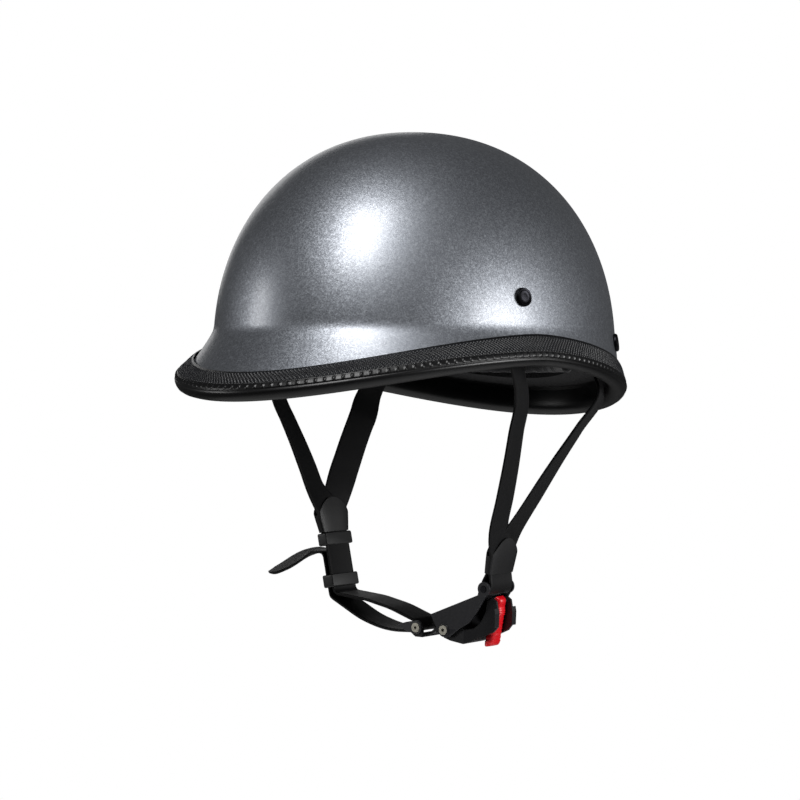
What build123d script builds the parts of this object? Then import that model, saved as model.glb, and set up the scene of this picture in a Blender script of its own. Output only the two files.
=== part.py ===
from build123d import *
import math
import os

# Half shell motorcycle helmet with a short flared brim, a rubber edge trim, a foam
# liner with comfort pads, and a chin strap with a ratchet buckle.
# Millimetres, +Z up. The front faces -Y, so the wearer's left side is +X.
# The origin is the centre of the head opening, on the dome's widest plane.

os.makedirs("parts", exist_ok=True)

# Moulded shell: a superellipse dome that flares into a brim below a soft crease.
shell_half_width = 111.0
shell_half_length = 142.5
shell_height = 137.0
shell_wall = 4.0
dome_power = 2.18
crease_height = 16.0
brim_reach = 21.2
brim_drop = 28.0
brim_curve_power = 1.25
brim_spread_power = 1.16
shell_floor = -46.0
outline_count = 28
skirt_count = 10
dome_count = 11

# Rim line: the upper edge of the trim, as a height that depends on Y alone.
rim_peak_y = -32.0
rim_peak_height = 12.3
rim_front_y = -168.0
rim_front_height = -7.5
rim_back_y = 147.0
rim_back_height = -22.0
rim_front_power = 1.7
rim_back_power = 1.5
rim_cut_half_length = shell_half_length + 4 * brim_reach
rim_cut_count = 25

# Rubber edge trim: a channel that holds the shell's edge, with a rolled bead below.
fit_gap = 0.4
trim_lap = 10.0
trim_inner_lap = 8.0
trim_lip = 1.2
trim_leg = 2.9
trim_bead = 4.0
trim_bead_drop = 8.4
trim_section_count = 18

# Foam liner and comfort pads.
foam_gap = 0.9
foam_thickness = 22.0
foam_rise = -1.0
pad_thickness = 9.0
crown_pad_radius = 46.0
pad_low = 12.0
pad_high = 50.0
brow_pad_half_deg = 46.0
side_pad_from_deg = 60.0
side_pad_to_deg = 112.0
nape_pad_half_deg = 44.0
nape_pad_low = -12.0
nape_pad_high = 40.0
snap_height = -4.0
snap_radius = 4.0
snap_post_radius = 1.8
snap_head = 1.6
snap_post_depth = 8.0

# Webbing, its rivets and the folds below the rim where the strap legs start to swing.
web_width = 22.0
web_thickness = 1.8
web_inset = 5.9
web_tuck = 4.2
web_exit_rise = 1.2
fold_x = 89.5
fold_z = -26.0
front_fold_y = -22.0
rear_fold_y = 57.0
fold_gap = 0.5
chin_y = -6.0
front_rivet_deg = 70.4
front_rivet_z = 33.0
rear_rivet_deg = 129.0
rear_rivet_z = 8.0
rivet_cap_radius = 5.6
rivet_cap_height = 1.9
rivet_cap_rim = 0.9
rivet_shank_radius = 2.4
rivet_head_radius = 3.6
rivet_head_height = 1.0
washer_radius = 5.2
washer_thickness = 0.8
web_end_margin = 10.0
leg_turn_front_deg = 16.0
leg_turn_rear_deg = 20.0

# Dividers that join the front and rear leg of each side.
divider_height = 22.0
divider_top_half = 17.5
divider_bottom_half = 13.0
divider_thickness = 6.6
divider_edge = 1.2
divider_y_shift = 1.5
rear_spread = 2.0
left_divider_x = 67.5
left_divider_z = -119.0
layer_pitch = 2.1
slot_gap = 0.3

# Buckle: lever pin, housing plates, strap bar. Places are in the X-Z plane.
pin_x = 33.9
pin_z = -165.6
pin_radius = 1.8
pin_bore = 1.0
eyelet_radius = 2.9
eyelet_height = 0.5
bar_x = 63.5
bar_z = -139.0
bar_radius = 2.0
plate_start_x = 23.7
plate_start_z = -156.8
plate_end_x = 59.1
plate_end_z = -142.9
plate_wall = 1.2
cheek_inner = 11.6
cheek_wall = 1.4
run_gap = 0.05

# Ratchet tongue: an arc about the fold line, with saw teeth on its outer side.
tongue_strip = 1.8
tooth_clear = 0.4
tooth_height = 1.2
tooth_pitch_deg = 0.46
tooth_first_deg = -2.6
tooth_count = 12
tongue_tip_deg = 3.3
tongue_root_deg = -3.4
tongue_half_width = 9.0
ear_x = 13.3
ear_z = -165.6
ear_radius = 3.9
ear_wall = 1.6
ear_inner = 11.4
web_bar_x = 7.6
web_bar_z = -165.3
web_bar_radius = 1.8
leaf_length = 15.0
leaf_wall = 1.1
boss_radius = 3.9
ear_round = 4.3

# Lever with its pawl, and the pull tab on the lever's end.
lever_length = 40.0
lever_half_width = 10.8
lever_end_half = 8.0
knuckle_radius = 3.0
spring_slot_half = 4.4
pawl_deg = 2.1
pawl_clear = 0.25
pawl_height = 2.3
pawl_root_deg = 0.8
wire_radius = 0.4
spring_turns = 5
spring_radius = 2.6
spring_slot_radius = 3.6
spring_half = 3.5
notch_radius = 0.7
notch_pitch = 2.3
notch_count = 3
tab_bar_radius = 1.1
tab_bar_dx = 32.2
tab_bar_dz = 18.4
tab_eye_half = 6.6
tab_eye_reach = 4.0
tab_half_width = 4.4
tab_flare_half = 6.2
tab_length = 27.0
tab_lean = 6.0
tab_ply = 1.3
tab_bore_gap = 0.35
tab_rib_count = 11
tab_rib = 0.35

# Right side: divider, keeper, slider and the chin strap with its loose tail.
slider_x = -58.0
slider_z = -142.0
right_lean_deg = 12.0
right_divider_rise = 41.9
slider_height = 8.0
slider_wall = 1.2
slider_bar = 1.2
slider_slot = 2.4
keeper_drop = 15.5
keeper_height = 8.0
keeper_wall = 1.4
tail_rise = 19.0
tail_length = 52.0
strap_bend = 4.0
sag_bend = 30.0
loop_gap = 0.25

cut_over = 30.0


# Shell surface formulas.
def ellipse_radius(phi, half_width, half_length):
    return 1 / math.hypot(math.sin(phi) / half_width, math.cos(phi) / half_length)


def dome_share(z, height):
    level_share = max(z, 0) / height
    return (1 - level_share ** dome_power) ** (1 / dome_power)


def brim_share(phi):
    return ((1 + math.cos(phi)) / 2) ** brim_spread_power


def brim_flare(phi, z):
    drop_share = max(crease_height - z, 0) / brim_drop
    return brim_reach * brim_share(phi) * drop_share ** brim_curve_power


def brim_slope(phi, z):
    drop_share = max(crease_height - z, 0) / brim_drop
    rise = brim_reach * brim_share(phi) * brim_curve_power / brim_drop
    return rise * drop_share ** (brim_curve_power - 1)


def wall_radius(phi, z, inset, flared=True):
    plain = ellipse_radius(phi, shell_half_width - inset, shell_half_length - inset)
    plain *= dome_share(z, shell_height - inset)
    if not flared:
        return plain
    lean = math.hypot(1, brim_slope(phi, z))
    return plain + brim_flare(phi, z) - inset * (lean - 1)


def wall_point(phi, z, inset, flared=True):
    radius = wall_radius(phi, z, inset, flared)
    return Vector(radius * math.sin(phi), -radius * math.cos(phi), z)


def wall_tangent(phi, z):
    step = math.radians(0.5)
    return (wall_point(phi + step, z, 0) - wall_point(phi - step, z, 0)).normalized()


def wall_normal(phi, z):
    rise = shell_height / 200
    up = wall_point(phi, z + rise, 0) - wall_point(phi, z - rise, 0)
    return wall_tangent(phi, z).cross(up).normalized()


def bowl(inset, flared, floor):
    height = shell_height - inset
    levels = [floor + (crease_height - floor) * k / skirt_count for k in range(skirt_count + 1)]
    for k in range(1, dome_count + 1):
        turn = math.radians(90 * k / (dome_count + 1))
        levels.append(crease_height + (height - crease_height) * math.sin(turn))
    sections = []
    for z in levels:
        turns = [2 * math.pi * k / outline_count for k in range(outline_count)]
        points = [wall_point(phi, z, inset, flared) for phi in turns]
        sections.append(Wire([Spline(*points, periodic=True)]))
    return Solid.make_loft(sections + [Vertex(0, 0, height)], False)


def rim_height(y):
    if y < rim_peak_y:
        away_share = (rim_peak_y - y) / (rim_peak_y - rim_front_y)
        return rim_peak_height - (rim_peak_height - rim_front_height) * away_share ** rim_front_power
    away_share = (y - rim_peak_y) / (rim_back_y - rim_peak_y)
    return rim_peak_height - (rim_peak_height - rim_back_height) * away_share ** rim_back_power


def below_rim(rise):
    ys = [rim_cut_half_length * (2 * k / (rim_cut_count - 1) - 1) for k in range(rim_cut_count)]
    line = Spline(*[Vector(-rim_cut_half_length, y, rim_height(y) + rise) for y in ys])
    low = -rim_cut_half_length
    sides = Polyline(line @ 1, (low, -low, low), (low, low, low), line @ 0)
    return extrude(Face(Wire([line] + list(sides.edges()))), -2 * low, dir=(1, 0, 0))


# Small builders for plates, rods and webbing.
def slab(outline, y_from, y_to):
    face = Face(Wire.make_polygon([Vector(x, y_from, z) for x, z in outline]))
    return extrude(face, y_to - y_from, dir=(0, 1, 0))


def rod(x, z, radius, y_from, y_to):
    return Solid.make_cylinder(radius, y_to - y_from, Plane((x, y_from, z), z_dir=(0, 1, 0)))


def plug(start, direction, radius, length):
    return Solid.make_cylinder(radius, length, Plane(start, z_dir=direction))


def web_frame(points, hints, k):
    last = len(points) - 1
    along = Vector(0, 0, 0)
    if k > 0:
        along = along + (points[k] - points[k - 1]).normalized()
    if k < last:
        along = along + (points[k + 1] - points[k]).normalized()
    across = hints[k]
    if 0 < k < last:
        across = across - along * (across.dot(along) / along.dot(along))
    across = across.normalized()
    return across, along.cross(across).normalized()


def webbing(stations, width, thickness):
    points = [Vector(*place) for place, hint in stations]
    hints = [Vector(*hint) for place, hint in stations]
    wires = []
    for k in range(len(points)):
        across, face_out = web_frame(points, hints, k)
        wide = across * (width / 2)
        thick = face_out * (thickness / 2)
        corners = [points[k] + wide + thick, points[k] - wide + thick]
        corners += [points[k] - wide - thick, points[k] + wide - thick]
        wires.append(Wire.make_polygon(corners, close=True))
    return Solid.make_loft(wires, True)


def flat_sweep(path, width, thickness):
    start = Plane(path @ 0, x_dir=(0, 1, 0), z_dir=path % 0)
    return sweep(start * Rectangle(width, thickness), path=path)


def swing_point(radius, degrees):
    turn = math.radians(degrees)
    return -fold_x + radius * math.sin(turn), fold_z - radius * math.cos(turn)


# Outer shell.
outer_bowl = bowl(0, True, shell_floor)
inner_bowl = bowl(shell_wall, True, shell_floor - shell_wall)
shell = outer_bowl - inner_bowl - below_rim(-trim_lap)

# Rivet seats in the shell: two a side, each on the shell's own normal.
rivet_spots = []
for side in (1, -1):
    for degrees, z in ((front_rivet_deg, front_rivet_z), (rear_rivet_deg, rear_rivet_z)):
        phi = side * math.radians(degrees)
        rivet_spots.append((wall_point(phi, z, 0), wall_normal(phi, z)))

rivet_grip = web_inset + web_thickness / 2 + washer_thickness + slot_gap
rivets = []
washers = []
rivet_holes = []
for spot, out in rivet_spots:
    if out.dot(Vector(spot.X, spot.Y, 0)) < 0:
        out = out * -1
    cap = plug(spot + out * slot_gap, out, rivet_cap_radius, rivet_cap_rim)
    crown = plug(spot + out * slot_gap, out, rivet_cap_radius - rivet_cap_rim, rivet_cap_height)
    shank = plug(spot - out * rivet_grip, out, rivet_shank_radius, rivet_grip + slot_gap)
    head = plug(spot - out * (rivet_grip + rivet_head_height), out, rivet_head_radius, rivet_head_height)
    rivets.append(cap + crown + shank + head)
    ring = plug(spot - out * rivet_grip, out, washer_radius, washer_thickness)
    hole = plug(spot - out * (rivet_grip + cut_over), out, rivet_shank_radius + run_gap, 2 * cut_over)
    washers.append(ring - hole)
    rivet_holes.append(hole)
shell = shell - rivet_holes

# Edge trim: channel sections in radial planes round one half, mirrored to the other.
def trim_section(phi):
    z = rim_peak_height
    radius = shell_half_width
    for _ in range(12):
        z = rim_height(-radius * math.cos(phi)) - trim_lap
        radius = wall_radius(phi, z, 0)
    lean = math.hypot(1, brim_slope(phi, z))
    out_r, out_z = 1 / lean, brim_slope(phi, z) / lean
    inner = -shell_wall - fit_gap

    def place(across, down):
        r = radius + across * out_r + down * out_z
        return Vector(r * math.sin(phi), -r * math.cos(phi), z + across * out_z - down * out_r)

    skin = [
        (fit_gap + trim_lip, -trim_lap),
        (fit_gap + trim_leg * 0.8, -trim_lap * 0.6),
        (fit_gap + trim_leg, -trim_lap * 0.2),
        (trim_bead, trim_bead_drop * 0.35),
        (trim_bead * 0.62, trim_bead_drop * 0.82),
        (inner / 2, trim_bead_drop),
        (inner - trim_leg * 0.8, trim_bead_drop * 0.6),
        (inner - trim_leg, 0),
        (inner - trim_lip, -trim_inner_lap),
    ]
    outline = Spline(*[place(a, b) for a, b in skin])
    channel = [
        outline @ 1,
        place(inner, -trim_inner_lap),
        place(inner, fit_gap),
        place(fit_gap, fit_gap),
        place(fit_gap, -trim_lap),
        outline @ 0,
    ]
    return Wire([outline] + list(Polyline(*channel).edges()))


trim_step = math.pi / trim_section_count
trim_sections = [trim_section(trim_step * k) for k in range(-1, trim_section_count + 2)]
half_space = Box(
    rim_cut_half_length, 2 * rim_cut_half_length, 2 * rim_cut_half_length,
    align=(Align.MIN, Align.CENTER, Align.CENTER),
)
half_trim = Solid.make_loft(trim_sections, False) & half_space
trim = half_trim + mirror(half_trim, about=Plane.YZ)

# Foam liner with a recess behind each strap and a pocket at each rivet.
foam_inset = shell_wall + foam_gap
pad_inset = foam_inset + foam_thickness + fit_gap
liner_core = bowl(foam_inset + foam_thickness, False, shell_floor - shell_wall)
liner = bowl(foam_inset, False, shell_floor) - liner_core - below_rim(foam_rise)


def strap_recess(phi, z_top):
    out = wall_tangent(phi, z_top).cross(Vector(0, 0, 1))
    foot = wall_point(phi, z_top, web_inset + web_tuck, False)
    depth = 4 * web_tuck
    frame = Plane(Vector(foot.X, foot.Y, z_top), x_dir=out, z_dir=(0, 0, -1))
    width = web_width + 8 * slot_gap
    return frame * Box(depth, width, 2 * cut_over, align=(Align.MIN, Align.CENTER, Align.MIN))


for side in (1, -1):
    for degrees, z in ((front_rivet_deg, front_rivet_z), (rear_rivet_deg, rear_rivet_z)):
        liner = liner - strap_recess(side * math.radians(degrees), z + web_end_margin + slot_gap)

# Comfort pads: one ring of padding cut into a brow, two side, a nape and a crown pad.
pad_ring = bowl(pad_inset, False, shell_floor) - bowl(pad_inset + pad_thickness, False, shell_floor - shell_wall)


def pad_wedge(from_deg, to_deg, low, high):
    reach = rim_cut_half_length
    turns = [math.radians(from_deg + (to_deg - from_deg) * k / 4) for k in range(5)]
    points = [Vector(0, 0, low)] + [Vector(reach * math.sin(a), -reach * math.cos(a), low) for a in turns]
    return extrude(Face(Wire.make_polygon(points)), high - low, dir=(0, 0, 1))


brow_pad = pad_ring & pad_wedge(-brow_pad_half_deg, brow_pad_half_deg, pad_low, pad_high)
left_pad = pad_ring & pad_wedge(side_pad_from_deg, side_pad_to_deg, pad_low, pad_high)
right_pad = pad_ring & pad_wedge(-side_pad_to_deg, -side_pad_from_deg, pad_low, pad_high)
nape_pad = pad_ring & pad_wedge(180 - nape_pad_half_deg, 180 + nape_pad_half_deg, nape_pad_low, nape_pad_high)
crown_pad = pad_ring & Solid.make_cylinder(crown_pad_radius, shell_height)

# Snap stud that holds the nape pad to the foam.
snap_face = wall_point(math.pi, snap_height, pad_inset + pad_thickness, False)
snap_out = Vector(0, 1, 0)
snap = plug(snap_face - snap_out * (snap_head + slot_gap), snap_out, snap_radius, snap_head)
snap_post = plug(snap_face - snap_out * (snap_head + slot_gap), snap_out, snap_post_radius,
                 snap_head + pad_thickness + snap_post_depth)
snap = snap + snap_post
snap_hole = plug(snap_face - snap_out * snap_head, snap_out, snap_post_radius + run_gap,
                 snap_head + pad_thickness + snap_post_depth)
nape_pad = nape_pad - snap_hole
liner = liner - snap_hole


# Strap legs. Each leg is riveted flat to the inside of the shell, comes out inside
# the trim, and runs to the divider with a slow twist.
def anchor_stations(side, degrees, z_rivet, fold_y):
    phi = side * math.radians(degrees)
    along_wall = wall_tangent(phi, z_rivet) * side
    top = wall_point(phi, z_rivet + web_end_margin, web_inset)
    seat = wall_point(phi, z_rivet, web_inset)
    exit_z = rim_height(seat.Y) + web_exit_rise
    under = wall_point(phi, (z_rivet + exit_z) / 2, web_inset)
    low = wall_point(phi, exit_z, web_inset, False)
    inside = wall_point(phi, exit_z - 2 * web_tuck, web_inset + web_tuck, False)
    stop = Vector(side * fold_x, fold_y, fold_z + web_thickness / 2 + fold_gap)
    turned = along_wall + Vector(0, 1, 0)
    stations = [(place, along_wall) for place in (top, seat, under, low)]
    return stations + [(inside, turned), (stop, Vector(0, 1, 0))]


def layer_place(divider, out, down, layer, drop):
    return divider + out * layer + down * drop


def between(start, end, x_share, z_share):
    return Vector(start.X + (end.X - start.X) * x_share, chin_y, start.Z + (end.Z - start.Z) * z_share)


def leg_stations(side, fold_y, fold_hint, divider, out, down, layer, spread, drop):
    fold = Vector(side * fold_x, fold_y, fold_z)
    mouth = layer_place(divider, out, down, layer, -divider_height * 0.7) + Vector(0, spread, 0)
    across = Vector(0, 1, 0)
    places = [(fold, fold_hint)]
    for k in range(1, 4):
        share = k / 4
        apart = out * layer * (min(2 * share, 1) * 1.25 - share)
        places.append((fold + (mouth - fold) * share + apart, fold_hint * (3 - k) + across * k))
    places.append((mouth, across))
    places.append((layer_place(divider, out, down, layer, 0) + Vector(0, spread / 8, 0), across))
    if drop > 0:
        places.append((layer_place(divider, out, down, layer, drop), across))
    return places


def divider_body(divider, out):
    half = divider_height / 2
    shoulder = half - divider_height / 3
    outline = [
        (-divider_top_half + 2 * divider_edge + divider_y_shift, half),
        (-divider_top_half + divider_y_shift, shoulder),
        (-divider_bottom_half, -shoulder),
        (-divider_bottom_half, -half),
        (divider_bottom_half, -half),
        (divider_bottom_half, -shoulder),
        (divider_top_half + divider_y_shift, shoulder),
        (divider_top_half - 2 * divider_edge + divider_y_shift, half),
    ]
    frame = Plane(divider, x_dir=(0, 1, 0), z_dir=out)
    blank = extrude(Polygon(*outline, align=None), divider_thickness / 2, both=True)
    edges = blank.edges().filter_by(Axis.Z)
    blank = fillet(edges, divider_edge)
    blank = chamfer(blank.faces().filter_by(Axis.Z).edges(), divider_edge / 2)
    slot_half = web_slot_width / 2
    funnel = [
        (-slot_half, half + divider_edge),
        (-slot_half, -half - divider_edge),
        (slot_half, -half - divider_edge),
        (slot_half, shoulder - divider_height / 3),
        (slot_half + web_tuck, half + divider_edge),
    ]
    slot = extrude(Polygon(*funnel, align=None), (layer_pitch + web_slot) / 2, both=True)
    return frame * (blank - slot)


web_slot_width = web_width + 2 * slot_gap
web_slot = web_thickness + 2 * slot_gap

# Left side: the front leg runs through the divider, round the buckle's bar and back.
left_divider_at = Vector(left_divider_x, chin_y, left_divider_z)
strap_bar_at = Vector(bar_x, chin_y, bar_z)
left_down = (strap_bar_at - left_divider_at).normalized()
left_out = Vector(-left_down.Z, 0, left_down.X)
left_reach = (strap_bar_at - left_divider_at).length
half_layer = layer_pitch / 2

left_front_turn = math.radians(leg_turn_front_deg)
left_rear_turn = math.radians(leg_turn_rear_deg)
left_front_hint = Vector(-math.sin(left_front_turn), math.cos(left_front_turn), 0)
left_rear_hint = Vector(-math.sin(left_rear_turn), math.cos(left_rear_turn), 0)
left_front_top = anchor_stations(1, front_rivet_deg, front_rivet_z, front_fold_y)[:-1]
left_rear_top = anchor_stations(1, rear_rivet_deg, rear_rivet_z, rear_fold_y)[:-1]
left_front_leg = leg_stations(
    1, front_fold_y, left_front_hint, left_divider_at, left_out, left_down, half_layer, 0, 0)
left_rear_leg = leg_stations(
    1, rear_fold_y, left_rear_hint, left_divider_at, left_out, left_down, -half_layer, rear_spread, slot_gap * 8)

loop_r = bar_radius + loop_gap + web_thickness / 2
left_loop = FilletPolyline(
    layer_place(left_divider_at, left_out, left_down, half_layer, 0),
    layer_place(left_divider_at, left_out, left_down, half_layer, divider_height / 2),
    layer_place(strap_bar_at, left_out, left_down, loop_r, -loop_r),
    layer_place(strap_bar_at, left_out, left_down, loop_r, loop_r),
    layer_place(strap_bar_at, left_out, left_down, -loop_r, loop_r),
    layer_place(strap_bar_at, left_out, left_down, -loop_r, -loop_r),
    layer_place(left_divider_at, left_out, left_down, -half_layer, divider_height / 2),
    layer_place(left_divider_at, left_out, left_down, -half_layer, divider_height / 4),
    radius=[strap_bend, strap_bend, loop_r * 0.98, loop_r * 0.98, strap_bend, strap_bend],
)
left_front_strap = webbing(left_front_top + left_front_leg, web_width, web_thickness)
left_front_strap = left_front_strap + flat_sweep(left_loop, web_width, web_thickness)
left_rear_strap = webbing(left_rear_top + left_rear_leg, web_width, web_thickness)

left_divider = divider_body(left_divider_at, left_out)

# Right side: fixed stubs end at the fold line; the legs below it swing together.
slider_at = Vector(slider_x, chin_y, slider_z)
right_lean = math.radians(right_lean_deg)
right_down = Vector(math.sin(right_lean), 0, -math.cos(right_lean))
right_in = Vector(-right_down.Z, 0, right_down.X)
slot_shift = slider_bar / 2 + slider_slot / 2
main_shift = slot_shift
right_divider_at = slider_at + right_in * (main_shift - half_layer) - right_down * right_divider_rise

right_front_stub = webbing(
    anchor_stations(-1, front_rivet_deg, front_rivet_z, front_fold_y), web_width, web_thickness)
right_rear_stub = webbing(
    anchor_stations(-1, rear_rivet_deg, rear_rivet_z, rear_fold_y), web_width, web_thickness)

fold_across = Vector(0, 1, 0)
right_front_leg = leg_stations(
    -1, front_fold_y, fold_across, right_divider_at, right_in, right_down, half_layer, 0, 0)
right_rear_leg = leg_stations(
    -1, rear_fold_y, fold_across, right_divider_at, right_in, right_down, -half_layer, rear_spread,
    keeper_drop + keeper_height / 2)


def fold_roll(fold_y):
    return rod(-fold_x, fold_z, web_thickness / 2, fold_y - web_width / 2, fold_y + web_width / 2)


# The chin strap: down through the slider, round the tongue's bar and back up through
# the slider's second slot to the loose tail.
web_bar_at = Vector(web_bar_x, chin_y, web_bar_z)
wrap_r = web_bar_radius + loop_gap + web_thickness / 2
right_turn = Vector(1, 0, 0)
under = slider_at + right_down * (slider_height / 2 + strap_bend)
far_line = right_in * -slot_shift


def tail_place(out_share, down_share):
    start = slider_at + far_line - right_down * tail_rise
    return start + Vector(-tail_length * (0.2 + out_share), 0, -tail_length * (0.02 + down_share))


chin_run = FilletPolyline(
    layer_place(right_divider_at, right_in, right_down, half_layer, 0),
    under + right_in * main_shift,
    between(slider_at, web_bar_at, 0.43, 0.41),
    between(slider_at, web_bar_at, 0.73, 0.58),
    Vector(web_bar_x + wrap_r, chin_y, web_bar_z + wrap_r),
    Vector(web_bar_x + wrap_r, chin_y, web_bar_z - wrap_r),
    between(slider_at, web_bar_at, 0.70, 1.18),
    between(slider_at, web_bar_at, 0.38, 0.94),
    under + far_line + right_down * web_thickness,
    slider_at + far_line - right_down * tail_rise,
    tail_place(0, 0),
    radius=[strap_bend, sag_bend, sag_bend, wrap_r * 0.96, wrap_r * 0.96, sag_bend, sag_bend,
            strap_bend, strap_bend],
)

tail_stations = [
    (chin_run @ 1, (0, 1, 0)),
    (tail_place(0.21, 0.05), (0, 1, 0.38)),
    (tail_place(0.43, 0.13), (0, 1, 0.58)),
    (tail_place(0.65, 0.22), (0, 1, 0.52)),
    (tail_place(0.82, 0.28), (0, 1, 0.36)),
]
chin_strap = webbing(right_front_leg, web_width, web_thickness) + fold_roll(front_fold_y)
chin_strap = chin_strap + flat_sweep(chin_run, web_width, web_thickness)
chin_strap = chin_strap + webbing(tail_stations, web_width, web_thickness)
right_rear_strap = webbing(right_rear_leg, web_width, web_thickness) + fold_roll(rear_fold_y)

right_divider = divider_body(right_divider_at, right_in)


def strap_block(centre, thickness, height, side_wall):
    frame = Plane(centre, x_dir=(0, 1, 0), z_dir=right_in)
    block = Box(web_slot_width + 2 * side_wall, height, thickness)
    block = fillet(block.edges().filter_by(Axis.Z), divider_edge)
    return frame * chamfer(block.faces().filter_by(Axis.Z).edges(), divider_edge / 3)


def strap_slot(centre, thickness):
    frame = Plane(centre, x_dir=(0, 1, 0), z_dir=right_in)
    return frame * Box(web_slot_width, cut_over, thickness)


keeper_at = right_divider_at + right_down * keeper_drop
keeper_slot = layer_pitch + web_slot
right_keeper = strap_block(keeper_at, keeper_slot + 2 * keeper_wall, keeper_height, keeper_wall)
right_keeper = right_keeper - strap_slot(keeper_at, keeper_slot)

slider_depth = slider_bar + 2 * slider_slot + 2 * slider_wall
chin_slider = strap_block(slider_at, slider_depth, slider_height, keeper_wall)
chin_slider = chin_slider - strap_slot(slider_at + right_in * slot_shift, slider_slot)
chin_slider = chin_slider - strap_slot(slider_at - right_in * slot_shift, slider_slot)

# Fixed half of the buckle: a folded plate with two cheeks, the pin and the bar.
pin_swing_r = math.hypot(pin_x + fold_x, pin_z - fold_z)
pin_swing_deg = math.degrees(math.atan2(pin_x + fold_x, fold_z - pin_z))
plate_run = Vector(plate_end_x - plate_start_x, 0, plate_end_z - plate_start_z).normalized()
plate_out = Vector(-plate_run.Z, 0, plate_run.X) * -plate_wall


def near_pin(shares):
    return [(pin_x + a * lever_length, pin_z + b * lever_length) for a, b in shares]


cheek_low_shares = [
    (0.60, 0.293), (0.468, 0.14), (0.29, 0.04), (0.10, -0.10), (-0.02, -0.105), (-0.1, -0.035),
]
cheek_outline = [
    (plate_start_x, plate_start_z),
    (plate_end_x, plate_end_z),
    (bar_x - ear_round * 0.5, bar_z + ear_round * 0.86),
    (bar_x + ear_round, bar_z),
] + near_pin(cheek_low_shares)
plate_outline = [
    (plate_start_x, plate_start_z),
    (plate_end_x, plate_end_z),
    (plate_end_x + plate_out.X, plate_end_z + plate_out.Z),
    (plate_start_x + plate_out.X, plate_start_z + plate_out.Z),
]
cheek_outer = cheek_inner + cheek_wall
housing = slab(plate_outline, chin_y - cheek_outer, chin_y + cheek_outer)
for low, high in ((-cheek_outer, -cheek_inner), (cheek_inner, cheek_outer)):
    cheek = slab(cheek_outline, chin_y + low, chin_y + high)
    cheek = cheek + rod(bar_x, bar_z, ear_round, chin_y + low, chin_y + high)
    cheek = cheek + rod(pin_x, pin_z, ear_round, chin_y + low, chin_y + high)
    housing = housing + cheek
boss_reach = cheek_outer + eyelet_height
for low, high in ((-boss_reach, -cheek_outer), (cheek_outer, boss_reach)):
    housing = housing + rod(pin_x, pin_z, boss_radius, chin_y + low, chin_y + high)
housing = housing - rod(pin_x, pin_z, pin_radius + run_gap, chin_y - cut_over, chin_y + cut_over)
housing = housing - rod(bar_x, bar_z, bar_radius + run_gap, chin_y - cut_over, chin_y + cut_over)

flange_reach = boss_reach + eyelet_height
strap_bar = rod(bar_x, bar_z, bar_radius, chin_y - boss_reach, chin_y + boss_reach)
lever_pin = rod(pin_x, pin_z, pin_radius, chin_y - flange_reach, chin_y + flange_reach)
for low, high in ((-flange_reach, -boss_reach), (boss_reach, flange_reach)):
    lever_pin = lever_pin + rod(pin_x, pin_z, eyelet_radius, chin_y + low, chin_y + high)
lever_pin = lever_pin - rod(pin_x, pin_z, pin_bore, chin_y - cut_over, chin_y + cut_over)

spring_line = Helix(2 * spring_half / spring_turns, 2 * spring_half, spring_radius)
spring = sweep(Plane(spring_line @ 0, z_dir=spring_line % 0) * Circle(wire_radius), spring_line, is_frenet=True)
spring = Plane((pin_x, chin_y - spring_half, pin_z), z_dir=(0, 1, 0)) * spring

# Lever with its pawl, finger notches and an eye for the pull tab.
lever_shares = [
    (-0.0375, -0.125), (0.0825, -0.16), (0.3225, -0.1925), (0.4975, -0.13), (0.8325, 0.015),
    (0.91, 0.1), (0.92, 0.3), (0.885, 0.48), (0.805, 0.525), (0.735, 0.48), (0.715, 0.33),
    (0.62, 0.1375), (0.5, 0.05), (0.35, 0.025), (0.2375, 0.1125), (0.1925, 0.215),
    (0.0625, 0.0875), (-0.0725, -0.02),
]
tooth_tip_r = pin_swing_r - knuckle_radius - tooth_clear
strip_outer_r = tooth_tip_r - tooth_height
strip_inner_r = strip_outer_r - tongue_strip
pawl_tip_r = tooth_tip_r + pawl_clear
pawl_outline = [
    swing_point(pawl_tip_r, pin_swing_deg + pawl_deg),
    swing_point(pawl_tip_r + pawl_height, pin_swing_deg + pawl_deg - pawl_root_deg),
    swing_point(pawl_tip_r + pawl_height, pin_swing_deg + pawl_deg + pawl_root_deg),
]
lever_low = chin_y - lever_half_width
lever_high = chin_y + lever_half_width
tab_bar_x = pin_x + tab_bar_dx
tab_bar_z = pin_z + tab_bar_dz
lever = slab(near_pin(lever_shares), lever_low, lever_high)
lever = lever + rod(pin_x, pin_z, knuckle_radius, lever_low, lever_high)
lever = lever + slab(pawl_outline, chin_y - tongue_half_width, chin_y + tongue_half_width)
lever = lever + rod(tab_bar_x, tab_bar_z, 2 * tab_bar_radius, lever_low, lever_high)
lever = lever - rod(pin_x, pin_z, spring_slot_radius, chin_y - spring_slot_half, chin_y + spring_slot_half)
lever = lever - rod(pin_x, pin_z, pin_radius + run_gap, chin_y - cut_over, chin_y + cut_over)
tab_eye_x = tab_bar_x - tab_lean - tab_eye_reach / 2
tab_window = [
    (tab_eye_x, tab_bar_z + tab_eye_reach), (tab_bar_x + 2 * tab_eye_reach, tab_bar_z + tab_eye_reach),
    (tab_bar_x + 2 * tab_eye_reach, tab_bar_z - tab_length), (tab_eye_x, tab_bar_z - tab_length),
]
lever = lever - slab(tab_window, chin_y - tab_eye_half, chin_y + tab_eye_half)
lever = lever + rod(tab_bar_x, tab_bar_z, tab_bar_radius, lever_low, lever_high)
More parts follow.
